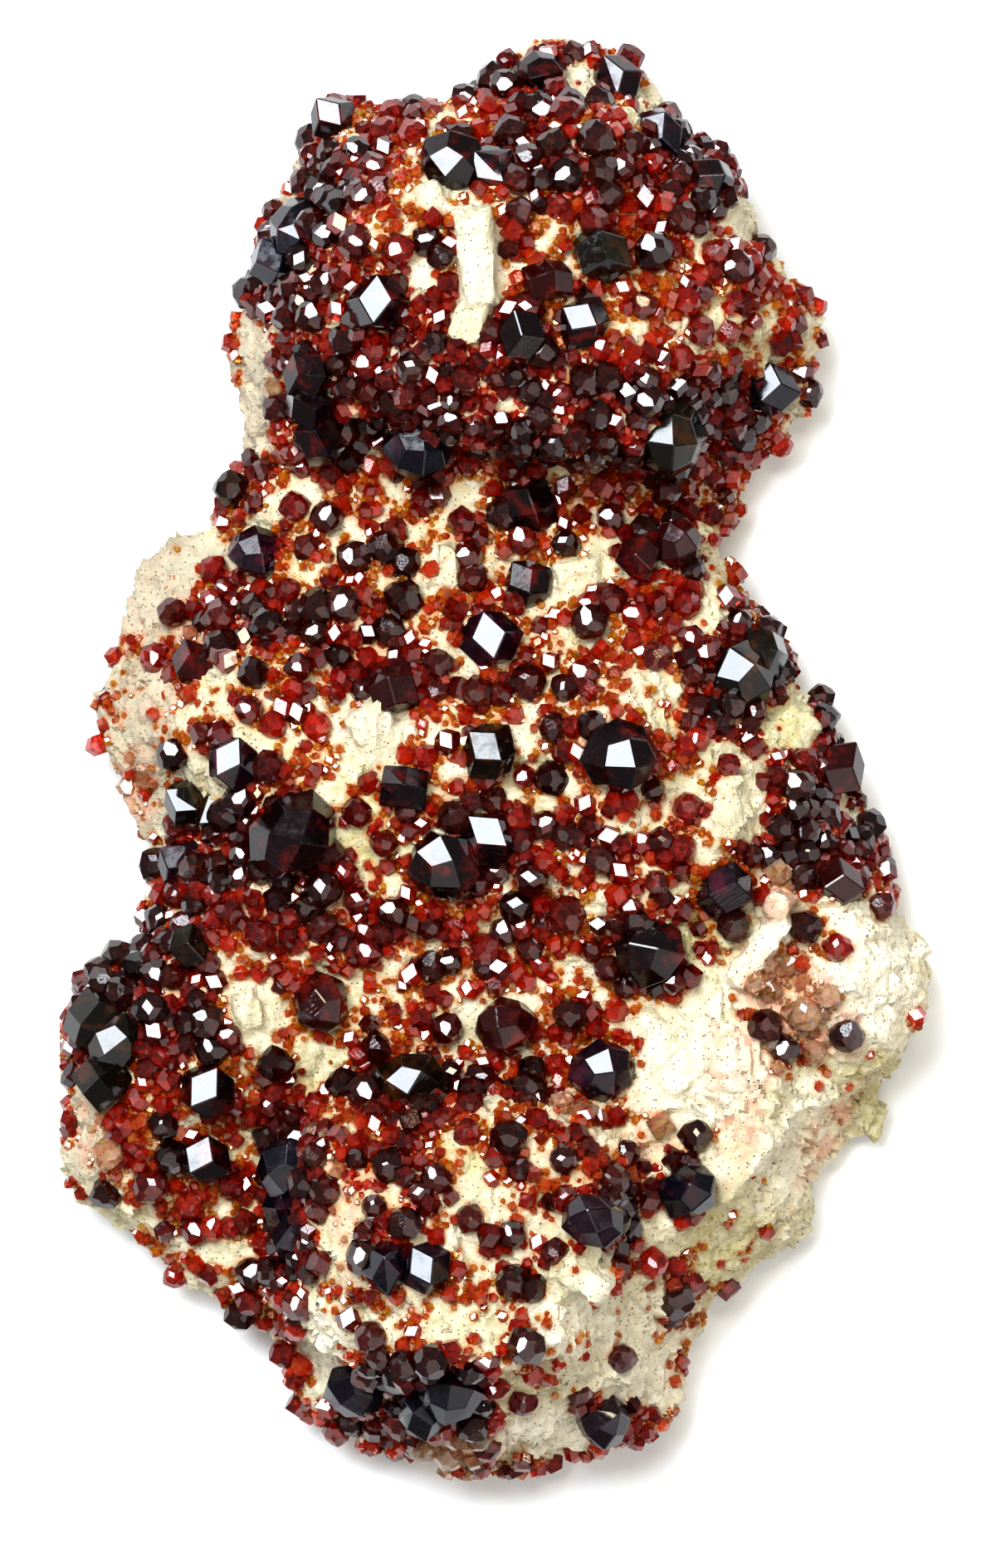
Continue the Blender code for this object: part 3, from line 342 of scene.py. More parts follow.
LISTED_CROWD = 0.3
LISTED_RISE = 0.16  # how far a listed garnet stands out of the rock, as a share of its size
GROWN_RISE = (0.02, 0.26)
BOX_SHARE = 0.6  # how far a garnet keeps from the sides of the box, as a share of its size
GROWS_OVER = 2.0  # millimetres over the back, where the first garnets grow
SOLID_REACH = 6.0 * MM  # how far a large garnet is looked for
PATCH_EDGE = 0.6  # softness of the edge of a stretch
BARE_EDGE = 0.3
CONTACT_REACH = 0.5 * MM
# Reach and lean of the rays that find how shut in each point of the rock is, for its painted shade
HOLLOW_REACH = 4.0 * MM
HOLLOW_LEAN = Vector((0.3, -0.4, 0.2))
FAR = 9.0

# Edges of the large garnets
WELD_GAP = 0.01 * MM
WORN_EDGE = 0.12 * MM
WORN_EDGE_ANGLE = 12.0  # degrees, from which an edge is worn

# Colours of the rock, beside those that the panel offers
# Painted shade of the hollows
HOLLOW_SHADE_BROWN = (0.34, 0.25, 0.09)
# Chalk, partly real and partly a painted highlight on the raised grains
CHALK_AND_HIGHLIGHT = (0.83, 0.77, 0.61)
YELLOW = (0.78, 0.58, 0.26)
# Paler cream: painted light where the key light falls weakly, and the whiter rock of the head's blade
CLEAN_AND_PAINTED_LIGHT = (0.90, 0.83, 0.68)
# Painted shade, dulling the side that faces the key light
DULL_SHADE = (0.44, 0.39, 0.29)
IRON = (0.55, 0.20, 0.07)
ROSY = (0.78, 0.40, 0.28)
SPECK_RED = (0.34, 0.07, 0.015)
PIT_BROWN = (0.20, 0.16, 0.08)

# Colours of the small garnets, beside those that the panel offers
BRIGHT_RED = (0.74, 0.080, 0.012)
FROST_GREY = Vector((0.070, 0.020, 0.024))
PALE_ROSE = Vector((1.0, 0.50, 0.36))

FELDSPAR_IOR = 1.52
GARNET_IOR = 1.79
SEE_THROUGH = 0.78  # share of light that a small garnet lets through

# Camera and light
PHOTO_SIZE = (1200, 1889)
PIXEL = 0.1 * MM  # what one pixel of the photograph covers at the height of the plate
PHOTO_ORIGIN = (600, 918)  # the pixel where the frame's origin lies
PHOTO_MIDDLE = (
    (PHOTO_SIZE[0] / 2.0 - PHOTO_ORIGIN[0]) * PIXEL,
    (PHOTO_ORIGIN[1] - PHOTO_SIZE[1] / 2.0) * PIXEL,
)
PLATE_LEVEL = 18.0 * MM
EYE_HEIGHT = 1.2
EYE_PLACE = np.array((*PHOTO_MIDDLE, EYE_HEIGHT + PLATE_LEVEL))
SENSOR = 36.0  # millimetres
KEY_SIDE = Vector((-0.30, 0.38, 0.875)).normalized()
KEY_DISTANCE = 0.9
KEY_PLACE = np.array(KEY_SIDE) * KEY_DISTANCE
KEY_SIZE = 0.50
KEY_COLOUR = (0.88, 0.94, 1.0)
FILL_SIDE = Vector((0.42, -0.40, 0.81)).normalized()
FILL_DISTANCE = 1.2
FILL_SIZE = 1.6
FILL_COLOUR = (1.0, 0.98, 0.95)
WARM_SIDE = Vector((0.12, 0.30, 0.95)).normalized()
WARM_DISTANCE = 1.0
WARM_SIZE = 0.16
WARM_WATTS = 1.0
WARM_COLOUR = (1.0, 0.93, 0.66)
ROOM_COLOUR = (0.95, 0.97, 1.0, 1.0)
FLOOR_COLOUR = (0.88, 0.88, 0.88, 1.0)
FLOOR_SIZE = 3.0


class GarnetSettings(bpy.types.PropertyGroup):
    """Sizes and colours of the garnets."""

    dark: bpy.props.FloatVectorProperty(
        name="Dark", description="Colour of a large garnet", subtype="COLOR", default=(0.030, 0.005, 0.006)
    )
    deep: bpy.props.FloatVectorProperty(
        name="Deep red", description="Colour of a middling garnet", subtype="COLOR",
        default=(0.24, 0.010, 0.008),
    )
    red: bpy.props.FloatVectorProperty(
        name="Red", description="Colour of a small garnet", subtype="COLOR",
        default=(0.62, 0.026, 0.009),
    )
    orange: bpy.props.FloatVectorProperty(
        name="Orange", description="Colour of the smallest garnets", subtype="COLOR",
        default=(0.95, 0.17, 0.012),
    )


class RockSettings(bpy.types.PropertyGroup):
    """Fineness and colours of the rock."""

    step: bpy.props.FloatProperty(
        name="Fineness", description="Spacing of the points of the rock's skin", subtype="DISTANCE",
        unit="LENGTH", default=0.575 * MM, precision=5,
    )
    cream: bpy.props.FloatVectorProperty(
        name="Cream", description="Colour of the clean feldspar", subtype="COLOR",
        default=(0.71, 0.635, 0.465),
    )
    # Khaki: a random tone of the rock, and in the khaki patches partly painted shade
    shaded: bpy.props.FloatVectorProperty(
        name="Khaki", description="Colour of the weathered feldspar", subtype="COLOR",
        default=(0.52, 0.45, 0.20),
    )
    stain: bpy.props.FloatVectorProperty(
        name="Stain", description="Colour of the iron stains", subtype="COLOR", default=(0.58, 0.19, 0.04)
    )


class StudioSettings(bpy.types.PropertyGroup):
    """The camera's distance and the strength of the light."""

    distance: bpy.props.FloatProperty(
        name="Camera height", description="Height of the camera over the plate", subtype="DISTANCE",
        unit="LENGTH", default=EYE_HEIGHT,
    )
    key_watts: bpy.props.FloatProperty(
        name="Key light", description="Strength of the light from the upper left", subtype="POWER",
        default=9.7,
    )
    fill_watts: bpy.props.FloatProperty(
        name="Fill light", description="Strength of the dim light from the lower right", subtype="POWER",
        default=6.2,
    )
    ambient: bpy.props.FloatProperty(
        name="Ambient", description="Brightness of the room around", default=0.24, min=0.0
    )


def put_at(vertices, places):
    """Sets all points of a mesh."""
    vertices.foreach_set("co", np.asarray(places, dtype=np.float32).ravel())


def places_of(mesh):
    """All points of a mesh as rows."""
    places = np.empty(len(mesh.vertices) * 3, dtype=np.float32)
    mesh.vertices.foreach_get("co", places)
    return places.reshape(-1, 3).astype(float)


def settle(mesh):
    """Rounds a mesh's points, so that tiny differences between them can't grow in the steps after."""
    put_at(mesh.vertices, np.round(places_of(mesh) / ROUNDING) * ROUNDING)
    mesh.update()


def smooth_step(value):
    """0 below 0, 1 above 1, with an even S between."""
    value = np.clip(value, 0.0, 1.0)
    return value * value * (3.0 - 2.0 * value)


def nearest_on_path(points, path, closed):
    """For each point, the nearest point on a path of straight runs, and how far it is. In millimetres."""
    path = np.array(path)
    ends = np.roll(path, -1, axis=0) if closed else path[1:]
    starts = path if closed else path[:-1]
    nearest = np.zeros_like(points)
    distance = np.full(len(points), np.inf)
    for start, run in zip(starts, ends - starts):
        share = np.clip(((points - start) @ run) / (run @ run), 0.0, 1.0)
        candidate = start + share[:, None] * run
        gap = np.linalg.norm(points - candidate, axis=1)
        closer = gap < distance
        nearest[closer] = candidate[closer]
        distance[closer] = gap[closer]
    return nearest, distance


def turned_offsets(points, x, y, turn):
    """Offsets from a middle, along and across a turned direction."""
    angle = math.radians(turn)
    dx, dy = points[:, 0] - x, points[:, 1] - y
    return math.cos(angle) * dx + math.sin(angle) * dy, math.cos(angle) * dy - math.sin(angle) * dx


def form_share(points, form):
    """How much of a form's rise each point takes, from 0 outside it to 1 at its middle."""
    x, y, half_x, half_y, turn, _, squareness, wall = form
    along, across = turned_offsets(points, x, y, turn)
    powers = np.abs(along / half_x) ** squareness + np.abs(across / half_y) ** squareness
    radius = powers ** (1.0 / squareness)
    return smooth_step((1.0 + wall - radius) / (2.0 * wall))


def relief(points):
    """Height of the rock's upper side at each point, in millimetres."""
    height = np.full(len(points), BODY_HEIGHT / MM)
    for form in FORMS_MM.values():
        height += form[5] * form_share(points, form)
    _, inside = nearest_on_path(points, OUTLINE_MM, closed=True)
    edge = RIM_SHARE + (1.0 - RIM_SHARE) * (1.0 - np.exp(-inside / (RIM_RUN / MM)))
    return height * edge


def patches(points, stretches, softness):
    """How far each point lies in one of these stretches, from 0 outside to 1 inside, with ragged edges."""
    share = np.zeros(len(points))
    wander = np.array([noise.noise((x / 3.0, y / 3.0, 5.0)) for x, y in points])
    for x, y, half_x, half_y, turn, much in stretches:
        along, across = turned_offsets(points, x, y, turn)
        radius = np.hypot(along / half_x, across / half_y) + 0.4 * wander
        share = np.maximum(share, much * smooth_step((1.0 + softness / 2.0 - radius) / softness))
    return share


def blade_cover(points):
    """Where the bare blades stand, from 0 beside them to 1 on them."""
    covers = [
        form_share(points, (x, y, width / 2.0, length / 2.0, turn, 0.0, 6.0, 0.18))
        for x, y, length, width, _, turn, _ in BLADES_MM
    ]
    return np.max(covers, axis=0)


def crowding(points):
    """Where garnets crowd together: above 0 in a cluster, below 0 in the gaps between clusters."""
    return np.array([
        0.8 * noise.noise((x / 5.5, y / 5.5, 2.0)) + noise.noise((x / 2.3, y / 2.3, 9.0)) for x, y in points
    ])


def only(obj):
    """Selects this object alone and makes it active."""
    bpy.ops.object.select_all(action="DESELECT")
    obj.select_set(True)
    bpy.context.view_layer.objects.active = obj


def apply_modifier(obj, kind, **settings):
    """Adds a modifier and applies it."""
    only(obj)
    modifier = obj.modifiers.new(kind.lower(), kind)
    for name, value in settings.items():
        setattr(modifier, name, value)
    bpy.ops.object.modifier_apply(modifier=modifier.name)


class Shade:
    """A shader socket that sums can be written with."""

    def __init__(self, maker, socket):
        self.maker = maker
        self.socket = socket

    def sum(self, operation, first, second):
        return self.maker.node("ShaderNodeMath", {"operation": operation}, {0: first, 1: second})

    def __add__(self, other):
        return self.sum("ADD", self, other)

    __radd__ = __add__

    def __sub__(self, other):
        return self.sum("SUBTRACT", self, other)

    def __rsub__(self, other):
        return self.sum("SUBTRACT", other, self)

    def __mul__(self, other):
        return self.sum("MULTIPLY", self, other)

    def between(self, low, high):
        """0 up to low, 1 from high on, and a soft step between."""
        settings = {"interpolation_type": "SMOOTHSTEP"}
        return self.maker.node("ShaderNodeMapRange", settings, {0: self, 1: low, 2: high})


class Maker:
    """Builds the nodes of one material."""

    def __init__(self, name):
        self.material = bpy.data.materials.new(name)
        self.material.use_nodes = True
        self.tree = self.material.node_tree
        self.shader = self.tree.nodes["Principled BSDF"]

    def node(self, kind, settings, values, output=0):
        """Adds a node, with its settings first and then the values or links of its sockets."""
        made = self.tree.nodes.new(kind)
        for name, value in settings.items():
            setattr(made, name, value)
        for key, value in values.items():
            self.feed(made.inputs[key], value)
        return Shade(self, made.outputs[output])

    def feed(self, socket, value):
        """Links a shade to a socket, or sets its value."""
        if isinstance(value, Shade):
            self.tree.links.new(value.socket, socket)
        else:
            socket.default_value = value

    def surface(self, **values):
        """Sets the shader's own sockets."""
        for name, value in values.items():
            self.feed(self.shader.inputs[name.replace("_", " ")], value)

    def position(self):
        return self.node("ShaderNodeTexCoord", {}, {}, "Object")

    def noise(self, place, width, detail=3.0, roughness=0.55, distortion=0.0):
        """Even noise whose lumps are about this wide."""
        values = {
            "Vector": place, "Scale": 1.0 / width, "Detail": detail, "Roughness": roughness,
            "Distortion": distortion,
        }
        return self.node("ShaderNodeTexNoise", {}, values)

    def cells(self, place, width):
        """Distance field of cells about this wide."""
        return self.node("ShaderNodeTexVoronoi", {}, {"Vector": place, "Scale": 1.0 / width})

    def mix(self, share, first, second):
        """Mixes two colours."""
        values = {0: share, 6: rgba(first), 7: rgba(second)}
        return self.node("ShaderNodeMix", {"data_type": "RGBA"}, values, 2)

    def vector_sum(self, operation, first, second):
        return self.node("ShaderNodeVectorMath", {"operation": operation}, {0: first, 1: second})

    def attribute(self, name, output="Fac"):
        return self.node("ShaderNodeAttribute", {"attribute_name": name}, {}, output)

    def bump(self, height, strength, distance):
        values = {"Strength": strength, "Distance": distance, "Height": height}
        return self.node("ShaderNodeBump", {}, values)


def rgba(colour):
    """A colour with full alpha, or a shade as it is."""
    return colour if isinstance(colour, Shade) else (*tuple(colour)[:3], 1.0)


def rock_material(settings):
    """Cream feldspar: whiter on the raised grains, partly chalk and partly a painted highlight; painted shade
    in the hollows; khaki patches that are partly painted shade; painted shade on the side that faces the key
    light and paler painted light where the key falls weakly; stained orange-brown beside the garnets.
    """
    maker = Maker("feldspar_rock")
    place = maker.position()
    broad = maker.noise(place, 8.0 * MM, 5.0, 0.6).between(0.40, 0.64)
    fine = maker.noise(place, 1.3 * MM, 5.0, 0.65)
    # Chalk, partly real and partly a painted highlight: whiter where the fine bump is raised
    chalk_and_highlight = fine.between(0.42, 0.62)
    hollow_shade = maker.attribute("hollow_shade")
    contact = maker.attribute("contact")
    blush = maker.attribute("blush")
    khaki_and_shade = maker.attribute("khaki_and_shade")
    clean_and_painted_light = maker.attribute("clean_and_painted_light")
    dull_shade = maker.attribute("dull_shade")
    # Random khaki tone, and the khaki patches, which are partly painted shade
    colour = maker.mix(broad * 0.45 + khaki_and_shade * 0.6, settings.cream, settings.shaded)
    # Painted shade: darker brown where the rock is shut in
    colour = maker.mix(hollow_shade * 0.6, colour, HOLLOW_SHADE_BROWN)
    colour = maker.mix(chalk_and_highlight * 0.45, colour, CHALK_AND_HIGHLIGHT)
    yellow = maker.noise(place, 6.0 * MM, 5.0, 0.65, 0.5).between(0.55, 0.70)
    colour = maker.mix(yellow * 0.5, colour, YELLOW)
    # Paler cream: painted light where the key light falls weakly, and the whiter rock of the head's blade
    colour = maker.mix(clean_and_painted_light * (0.5 + chalk_and_highlight * 0.4), colour, CLEAN_AND_PAINTED_LIGHT)
    # Painted shade: duller rock on the side that faces the key light
    colour = maker.mix(dull_shade * (0.65 + broad * 0.3), colour, DULL_SHADE)
    rust = maker.noise(place, 2.0 * MM, 4.0, 0.65).between(0.36, 0.60)
    colour = maker.mix(contact * (0.35 + rust * 0.6), colour, settings.stain)
    iron = maker.noise(place, 4.0 * MM, 6.0, 0.7, 0.6).between(0.60, 0.72)
    colour = maker.mix(iron * 0.5, colour, IRON)
    rosy = maker.noise(place, 2.4 * MM, 4.0, 0.6).between(0.38, 0.58)
    colour = maker.mix(blush * rosy * 0.75, colour, ROSY)
    specks = 1.0 - maker.cells(place, 0.9 * MM).between(0.10, 0.24)
    speck_veil = maker.noise(place, 5.0 * MM, 3.0).between(0.48, 0.60)
    colour = maker.mix(specks * speck_veil * 0.8, colour, SPECK_RED)
    pits = 1.0 - maker.cells(place, 0.7 * MM).between(0.05, 0.18)
    colour = maker.mix(pits * (0.25 + broad * 0.55), colour, PIT_BROWN)
    coarse = maker.noise(place, 2.2 * MM, 6.0, 0.72, 0.4)
    height = fine * 0.5 + coarse * 0.7 - pits * 0.35
    maker.surface(Base_Color=colour, Roughness=0.6 + chalk_and_highlight * 0.25, Normal=maker.bump(height, 1.0, 0.9 * MM))
    maker.surface(IOR=FELDSPAR_IOR)
    return maker.material


def garnet_material(name, colour, painted_glow, haze, see_through):
    """A dark glassy garnet: mirror faces beside frosted and striped ones, clouded with a painted glow, a
    lighter copy of its colour as of light through thin parts.
    """
    maker = Maker(name)
    place = maker.position()
    normal = maker.node("ShaderNodeTexCoord", {}, {}, "Normal")
    snapped = maker.vector_sum("SNAP", normal, (0.09, 0.09, 0.09))
    of_face = maker.node("ShaderNodeTexWhiteNoise", {"noise_dimensions": "3D"}, {"Vector": snapped})
    cloud = maker.noise(place, 3.5 * MM, 4.0, 0.6).between(0.50, 0.68)
    mist = maker.noise(place, 1.6 * MM, 5.0, 0.7).between(0.40, 0.70)
    frosted = of_face.between(0.50, 0.72) * (0.35 + mist * 0.65)
    # Painted glow: clouds of a lighter copy of the colour, as of light through thin parts
    tint = maker.mix(cloud * 0.75, colour, painted_glow)
    tint = maker.mix(frosted * 0.30, tint, haze)
    growth = maker.node("ShaderNodeMapping", {}, {"Vector": place, "Rotation": (0.6, 0.35, 0.9)})
    lines = maker.noise(maker.vector_sum("MULTIPLY", growth, (1.0, 0.06, 1.0)), 0.35 * MM, 2.0)
    striped = of_face.between(0.20, 0.30) * (1.0 - of_face.between(0.40, 0.50))
    height = lines * (0.12 + striped * 0.9) + mist * 0.10
    rough = 0.04 + frosted * 0.22 + mist * 0.05
    maker.surface(Base_Color=tint, Roughness=rough, Normal=maker.bump(height, 0.35, 0.06 * MM))
    maker.surface(IOR=GARNET_IOR, Transmission_Weight=see_through, Specular_IOR_Level=0.30)
    return maker.material


def tinted_garnet_material():
    """The small garnets, each in its own tint, kept on the mesh."""
    maker = Maker("small_garnet")
    place = maker.position()
    cloud = maker.noise(place, 0.7 * MM, 2.0).between(0.35, 0.7)
    # Painted glow: clouds of a brighter copy of the tint, as of light through the crystal
    tint = maker.mix(cloud * 0.6, maker.attribute("tint", "Color"), maker.attribute("glow", "Color"))
    worn = maker.noise(place, 1.2 * MM, 3.0).between(0.45, 0.75)
    steps = maker.noise(place, 0.35 * MM, 3.0, 0.7)
    rough = 0.05 + worn * (0.04 + maker.attribute("frost") * 0.22)
    maker.surface(Base_Color=tint, Roughness=rough, Normal=maker.bump(steps, 0.2, 0.04 * MM))
    maker.surface(IOR=GARNET_IOR, Transmission_Weight=SEE_THROUGH, Specular_IOR_Level=0.42)
    return maker.material


def slab_skin():
    """An even slab with the plate's outline, as a skin of small faces."""
    bpy.ops.object.select_all(action="DESELECT")
    bpy.ops.mesh.primitive_circle_add(vertices=len(OUTLINE_MM), fill_type="NGON")
    slab = bpy.context.object
    slab.name = ROCK_NAME
    for vertex, (x, y) in zip(slab.data.vertices, reversed(OUTLINE_MM)):
        vertex.co = (x * MM * OUTLINE_SPREAD[0], y * MM * OUTLINE_SPREAD[1], 0.0)
    bpy.ops.object.mode_set(mode="EDIT")
    bpy.ops.mesh.select_all(action="SELECT")
    bpy.ops.mesh.extrude_region_move(TRANSFORM_OT_translate={"value": (0.0, 0.0, SLAB_HEIGHT)})
    bpy.ops.mesh.select_all(action="SELECT")
    bpy.ops.mesh.normals_make_consistent(inside=False)
    bpy.ops.object.mode_set(mode="OBJECT")
    apply_modifier(slab, "REMESH", mode="VOXEL", voxel_size=SKIN_STEP)
    settle(slab.data)
    return slab


def shape_relief(mesh):
    """Moves the slab's points into the domes, walls and rounded edge of the rock, and breaks them up."""
    places = places_of(mesh)
    flat = places[:, :2] / MM
    level = np.clip(places[:, 2] / SLAB_HEIGHT, 0.0, 1.0)
    height = relief(flat) * level
    core, _ = nearest_on_path(flat, CORE_MM, closed=False)
    drawn_in = 1.0 - UNDERCUT * (1.0 - level) ** 1.5
    flat = core + (flat - core) * drawn_in[:, None]
    for x, y, reach, lowest, lean in LEANS_MM:
        near = np.exp(-((flat[:, 0] - x) ** 2 + (flat[:, 1] - y) ** 2) / reach**2)
        share = near * smooth_step((height - lowest) / LEAN_RUN)
        flat = flat + share[:, None] * np.array(lean)
    put_at(mesh.vertices, np.column_stack((flat, height)) * MM)
    mesh.update()
    for vertex, normal in zip(mesh.vertices, [vertex.normal.copy() for vertex in mesh.vertices]):
        lump = sum(rise * noise.noise(vertex.co / width) for width, rise in LUMPS)
        vertex.co += normal * (lump * min(1.0, max(0.0, vertex.co.z / ROUGH_FROM)))
        vertex.co.z -= BASE_CUT
    mesh.update()


def add_blades(rock, tree):
    """Sets the bare blades and blocks into the rock as separate shapes that the next skin takes in."""
    made = []
    for number, (x, y, length, width, stands_out, turn, tilt) in enumerate(BLADES_MM):
        rng = random.Random(BLADE_SEED + number)
        place, _, _, _ = tree.ray_cast(Vector((x * MM, y * MM, ABOVE)), -UP)
        thick = BLADE_DEPTH * stands_out
        middle = place + Vector((0.0, 0.0, (stands_out - thick / 2.0) * MM))
        turned = Matrix.Rotation(math.radians(turn), 4, "Z") @ Matrix.Rotation(math.radians(tilt), 4, "X")
        sides = Matrix.Diagonal((width * MM, length * MM, thick * MM, 1.0))
        bpy.ops.object.select_all(action="DESELECT")
        bpy.ops.mesh.primitive_cube_add(size=1.0)
        blade = bpy.context.object
        blade.data.transform(Matrix.Translation(middle) @ turned @ sides)
        for vertex in blade.data.vertices:
            slope = 0.78 if vertex.co.z > middle.z else 1.1
            offset = vertex.co - middle
            offset.x *= slope * rng.uniform(0.88, 1.08)
            offset.y *= slope * rng.uniform(0.92, 1.06)
            offset.z *= rng.uniform(0.85, 1.1)
            vertex.co = middle + offset
        made.append(blade)
    bpy.ops.object.select_all(action="DESELECT")
    for blade in made:
        blade.select_set(True)
    rock.select_set(True)
    bpy.context.view_layer.objects.active = rock
    bpy.ops.object.join()


def tree_of(mesh):
    """A search tree of a mesh."""
    bm = bmesh.new()
    bm.from_mesh(mesh)
    tree = BVHTree.FromBMesh(bm)
    bm.free()
    return tree


def chip(place, width, shift):
    """Height of a broken chip at a place. Each chip is a small tilted plane, set off from its neighbours."""
    scaled = place / width + Vector((shift, 0.0, 0.0))
    middle = noise.voronoi(scaled)[1][0]
    tilt = noise.noise_vector(middle * 7.3)
    return (scaled - middle).dot(tilt) + 0.5 * noise.noise(middle * 5.1)


def cleavage(place):
    """Height of the cleavage steps at a place, which come in patches and cover the bare slope."""
    run = (place.x * STEP_SIDE[0] + place.y * STEP_SIDE[1]) / STEP_WIDTH
    run += 1.6 * noise.noise(place / STEP_WANDER)
    away = (place.x - BARE_SLOPE[0]) ** 2 + (place.y - BARE_SLOPE[1]) ** 2
    reach = max(0.0, noise.noise(place / STEP_PATCH) + 0.35) + math.exp(-away / BARE_SLOPE_REACH**2)
    return STEP_RISE * (run - math.floor(run)) * reach


def break_surface(mesh):
    """Broken chips, cleavage steps and grit on the fine skin, and grain on the blades."""
    noise.seed_set(CHIP_SEED)
    covers = blade_cover(places_of(mesh)[:, :2] / MM)
    normals = [vertex.normal.copy() for vertex in mesh.vertices]
    for vertex, normal, cover in zip(mesh.vertices, normals, covers):
        place = vertex.co.copy()
        share = min(1.0, max(0.0, (place.z - BROKEN_FROM) / BROKEN_RUN))
        if share == 0.0:
            continue
        if cover > 0.0:
            grain = noise.noise([part / width for part, width in zip(place, GRAIN)])
            vertex.co += normal * (cover * GRAIN_RISE * grain)
            share *= 1.0 - 0.8 * cover
        chips = sum(depth * chip(place, width, shift) for width, depth, shift in CHIPS)
        chips *= 1.0 + 0.8 * (1.0 - abs(normal.z))
        grit = GRIT_RISE * noise.fractal(place / GRIT_WIDTH, 0.7, 2.0, 3)
        vertex.co += normal * (share * (chips + cleavage(place) + grit - SUNK))
    mesh.update()


def flatten_back(rock):
    """Cuts the back flat and closes it with one face."""
    only(rock)
    bpy.ops.object.mode_set(mode="EDIT")
    bpy.ops.mesh.select_all(action="SELECT")
    bpy.ops.mesh.bisect(
        plane_co=(0.0, 0.0, 0.0), plane_no=(0.0, 0.0, -1.0), use_fill=True, clear_outer=True, threshold=1e-6
    )
    bpy.ops.mesh.select_all(action="SELECT")
    bpy.ops.mesh.normals_make_consistent(inside=False)
    bpy.ops.object.mode_set(mode="OBJECT")


def keep_in_box(places, reach=0.0):
    """Holds points inside the solid's own box, and this far from its sides."""
    low, high = np.array(CAD_BOX[0]), np.array(CAD_BOX[1])
    margin = BOX_MARGIN + reach
    return np.clip(places, low + (margin, margin, reach), high - (margin, margin, margin))


class GARNET_OT_rock(bpy.types.Operator):
    """Shape the feldspar rock that the garnets grow on"""

    bl_idname = "garnet.rock"
    bl_label = "Matrix rock"

    def execute(self, context):
        settings = context.scene.garnet_rock
        rock = slab_skin()
        shape_relief(rock.data)
        add_blades(rock, tree_of(rock.data))
        apply_modifier(rock, "REMESH", mode="VOXEL", voxel_size=settings.step)
        settle(rock.data)
        break_surface(rock.data)
        flatten_back(rock)
        put_at(rock.data.vertices, keep_in_box(places_of(rock.data)))
        settle(rock.data)
        only(rock)
        bpy.ops.object.shade_smooth_by_angle(angle=math.radians(SMOOTH_ANGLE))
        rock.data.materials.clear()
        rock.data.materials.append(rock_material(settings))
        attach(rock, BODY)
        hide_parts(ROCK_NODE)
        return {"FINISHED"}


def crystal_model(name, seed, directions, spread):
    """One crystal, cut from a cube by a plane for each of its faces, some a little nearer than others."""
    rng = random.Random(seed)
    bpy.ops.object.select_all(action="DESELECT")
    bpy.ops.mesh.primitive_cube_add(size=BLANK)
    crystal = bpy.context.object
    crystal.name = name
    bpy.ops.object.mode_set(mode="EDIT")
    for normal, distance in directions:
        away = Vector(normal).normalized()
        bpy.ops.mesh.select_all(action="SELECT")
        bpy.ops.mesh.bisect(
            plane_co=away * distance * rng.uniform(1.0 - spread, 1.0 + spread),
            plane_no=away,
            use_fill=True,
            clear_outer=True,
            threshold=1e-5,
        )
    bpy.ops.mesh.select_all(action="SELECT")
    bpy.ops.mesh.remove_doubles(threshold=0.012)
    bpy.ops.mesh.normals_make_consistent(inside=False)
    bpy.ops.mesh.quads_convert_to_tris()
    bpy.ops.object.mode_set(mode="OBJECT")
    mesh = crystal.data
    corners = places_of(mesh) / BULGE
    faces = np.array([polygon.vertices[:] for polygon in mesh.polygons])
    bpy.data.objects.remove(crystal, do_unlink=True)
    return corners, faces


def face_directions(kind):
    """The face directions and distances of a garnet form: 12 rhombs, or both these and 24 kites."""
    rhombs = [
        normal for normal in itertools.product((-1, 0, 1), repeat=3) if sum(abs(part) for part in normal) == 2
    ]
    if kind == "rhombs":
        return [(normal, 1.0) for normal in rhombs]
    kites = [
        normal
        for normal in itertools.product((-2, -1, 1, 2), repeat=3)
        if sorted(abs(part) for part in normal) == [1, 1, 2]
    ]
    return [(normal, RHOMB_DISTANCE) for normal in rhombs] + [(normal, 1.0) for normal in kites]


def turn_matrices(quaternions):
    """Rotation matrices of rows of quaternions."""
    w, x, y, z = (quaternions / np.linalg.norm(quaternions, axis=1, keepdims=True)).T
    return np.stack(
        (
            np.stack((1 - 2 * (y * y + z * z), 2 * (x * y - z * w), 2 * (x * z + y * w)), axis=1),
            np.stack((2 * (x * y + z * w), 1 - 2 * (x * x + z * z), 2 * (y * z - x * w)), axis=1),
            np.stack((2 * (x * z - y * w), 2 * (y * z + x * w), 1 - 2 * (x * x + y * y)), axis=1),
        ),
        axis=1,
    )


def face_normals(corners, faces):
    """Outward directions of the faces of a crystal."""
    first, second, third = (corners[faces[:, index]] for index in range(3))
    normals = np.cross(second - first, third - first)
    return normals / np.linalg.norm(normals, axis=1, keepdims=True)


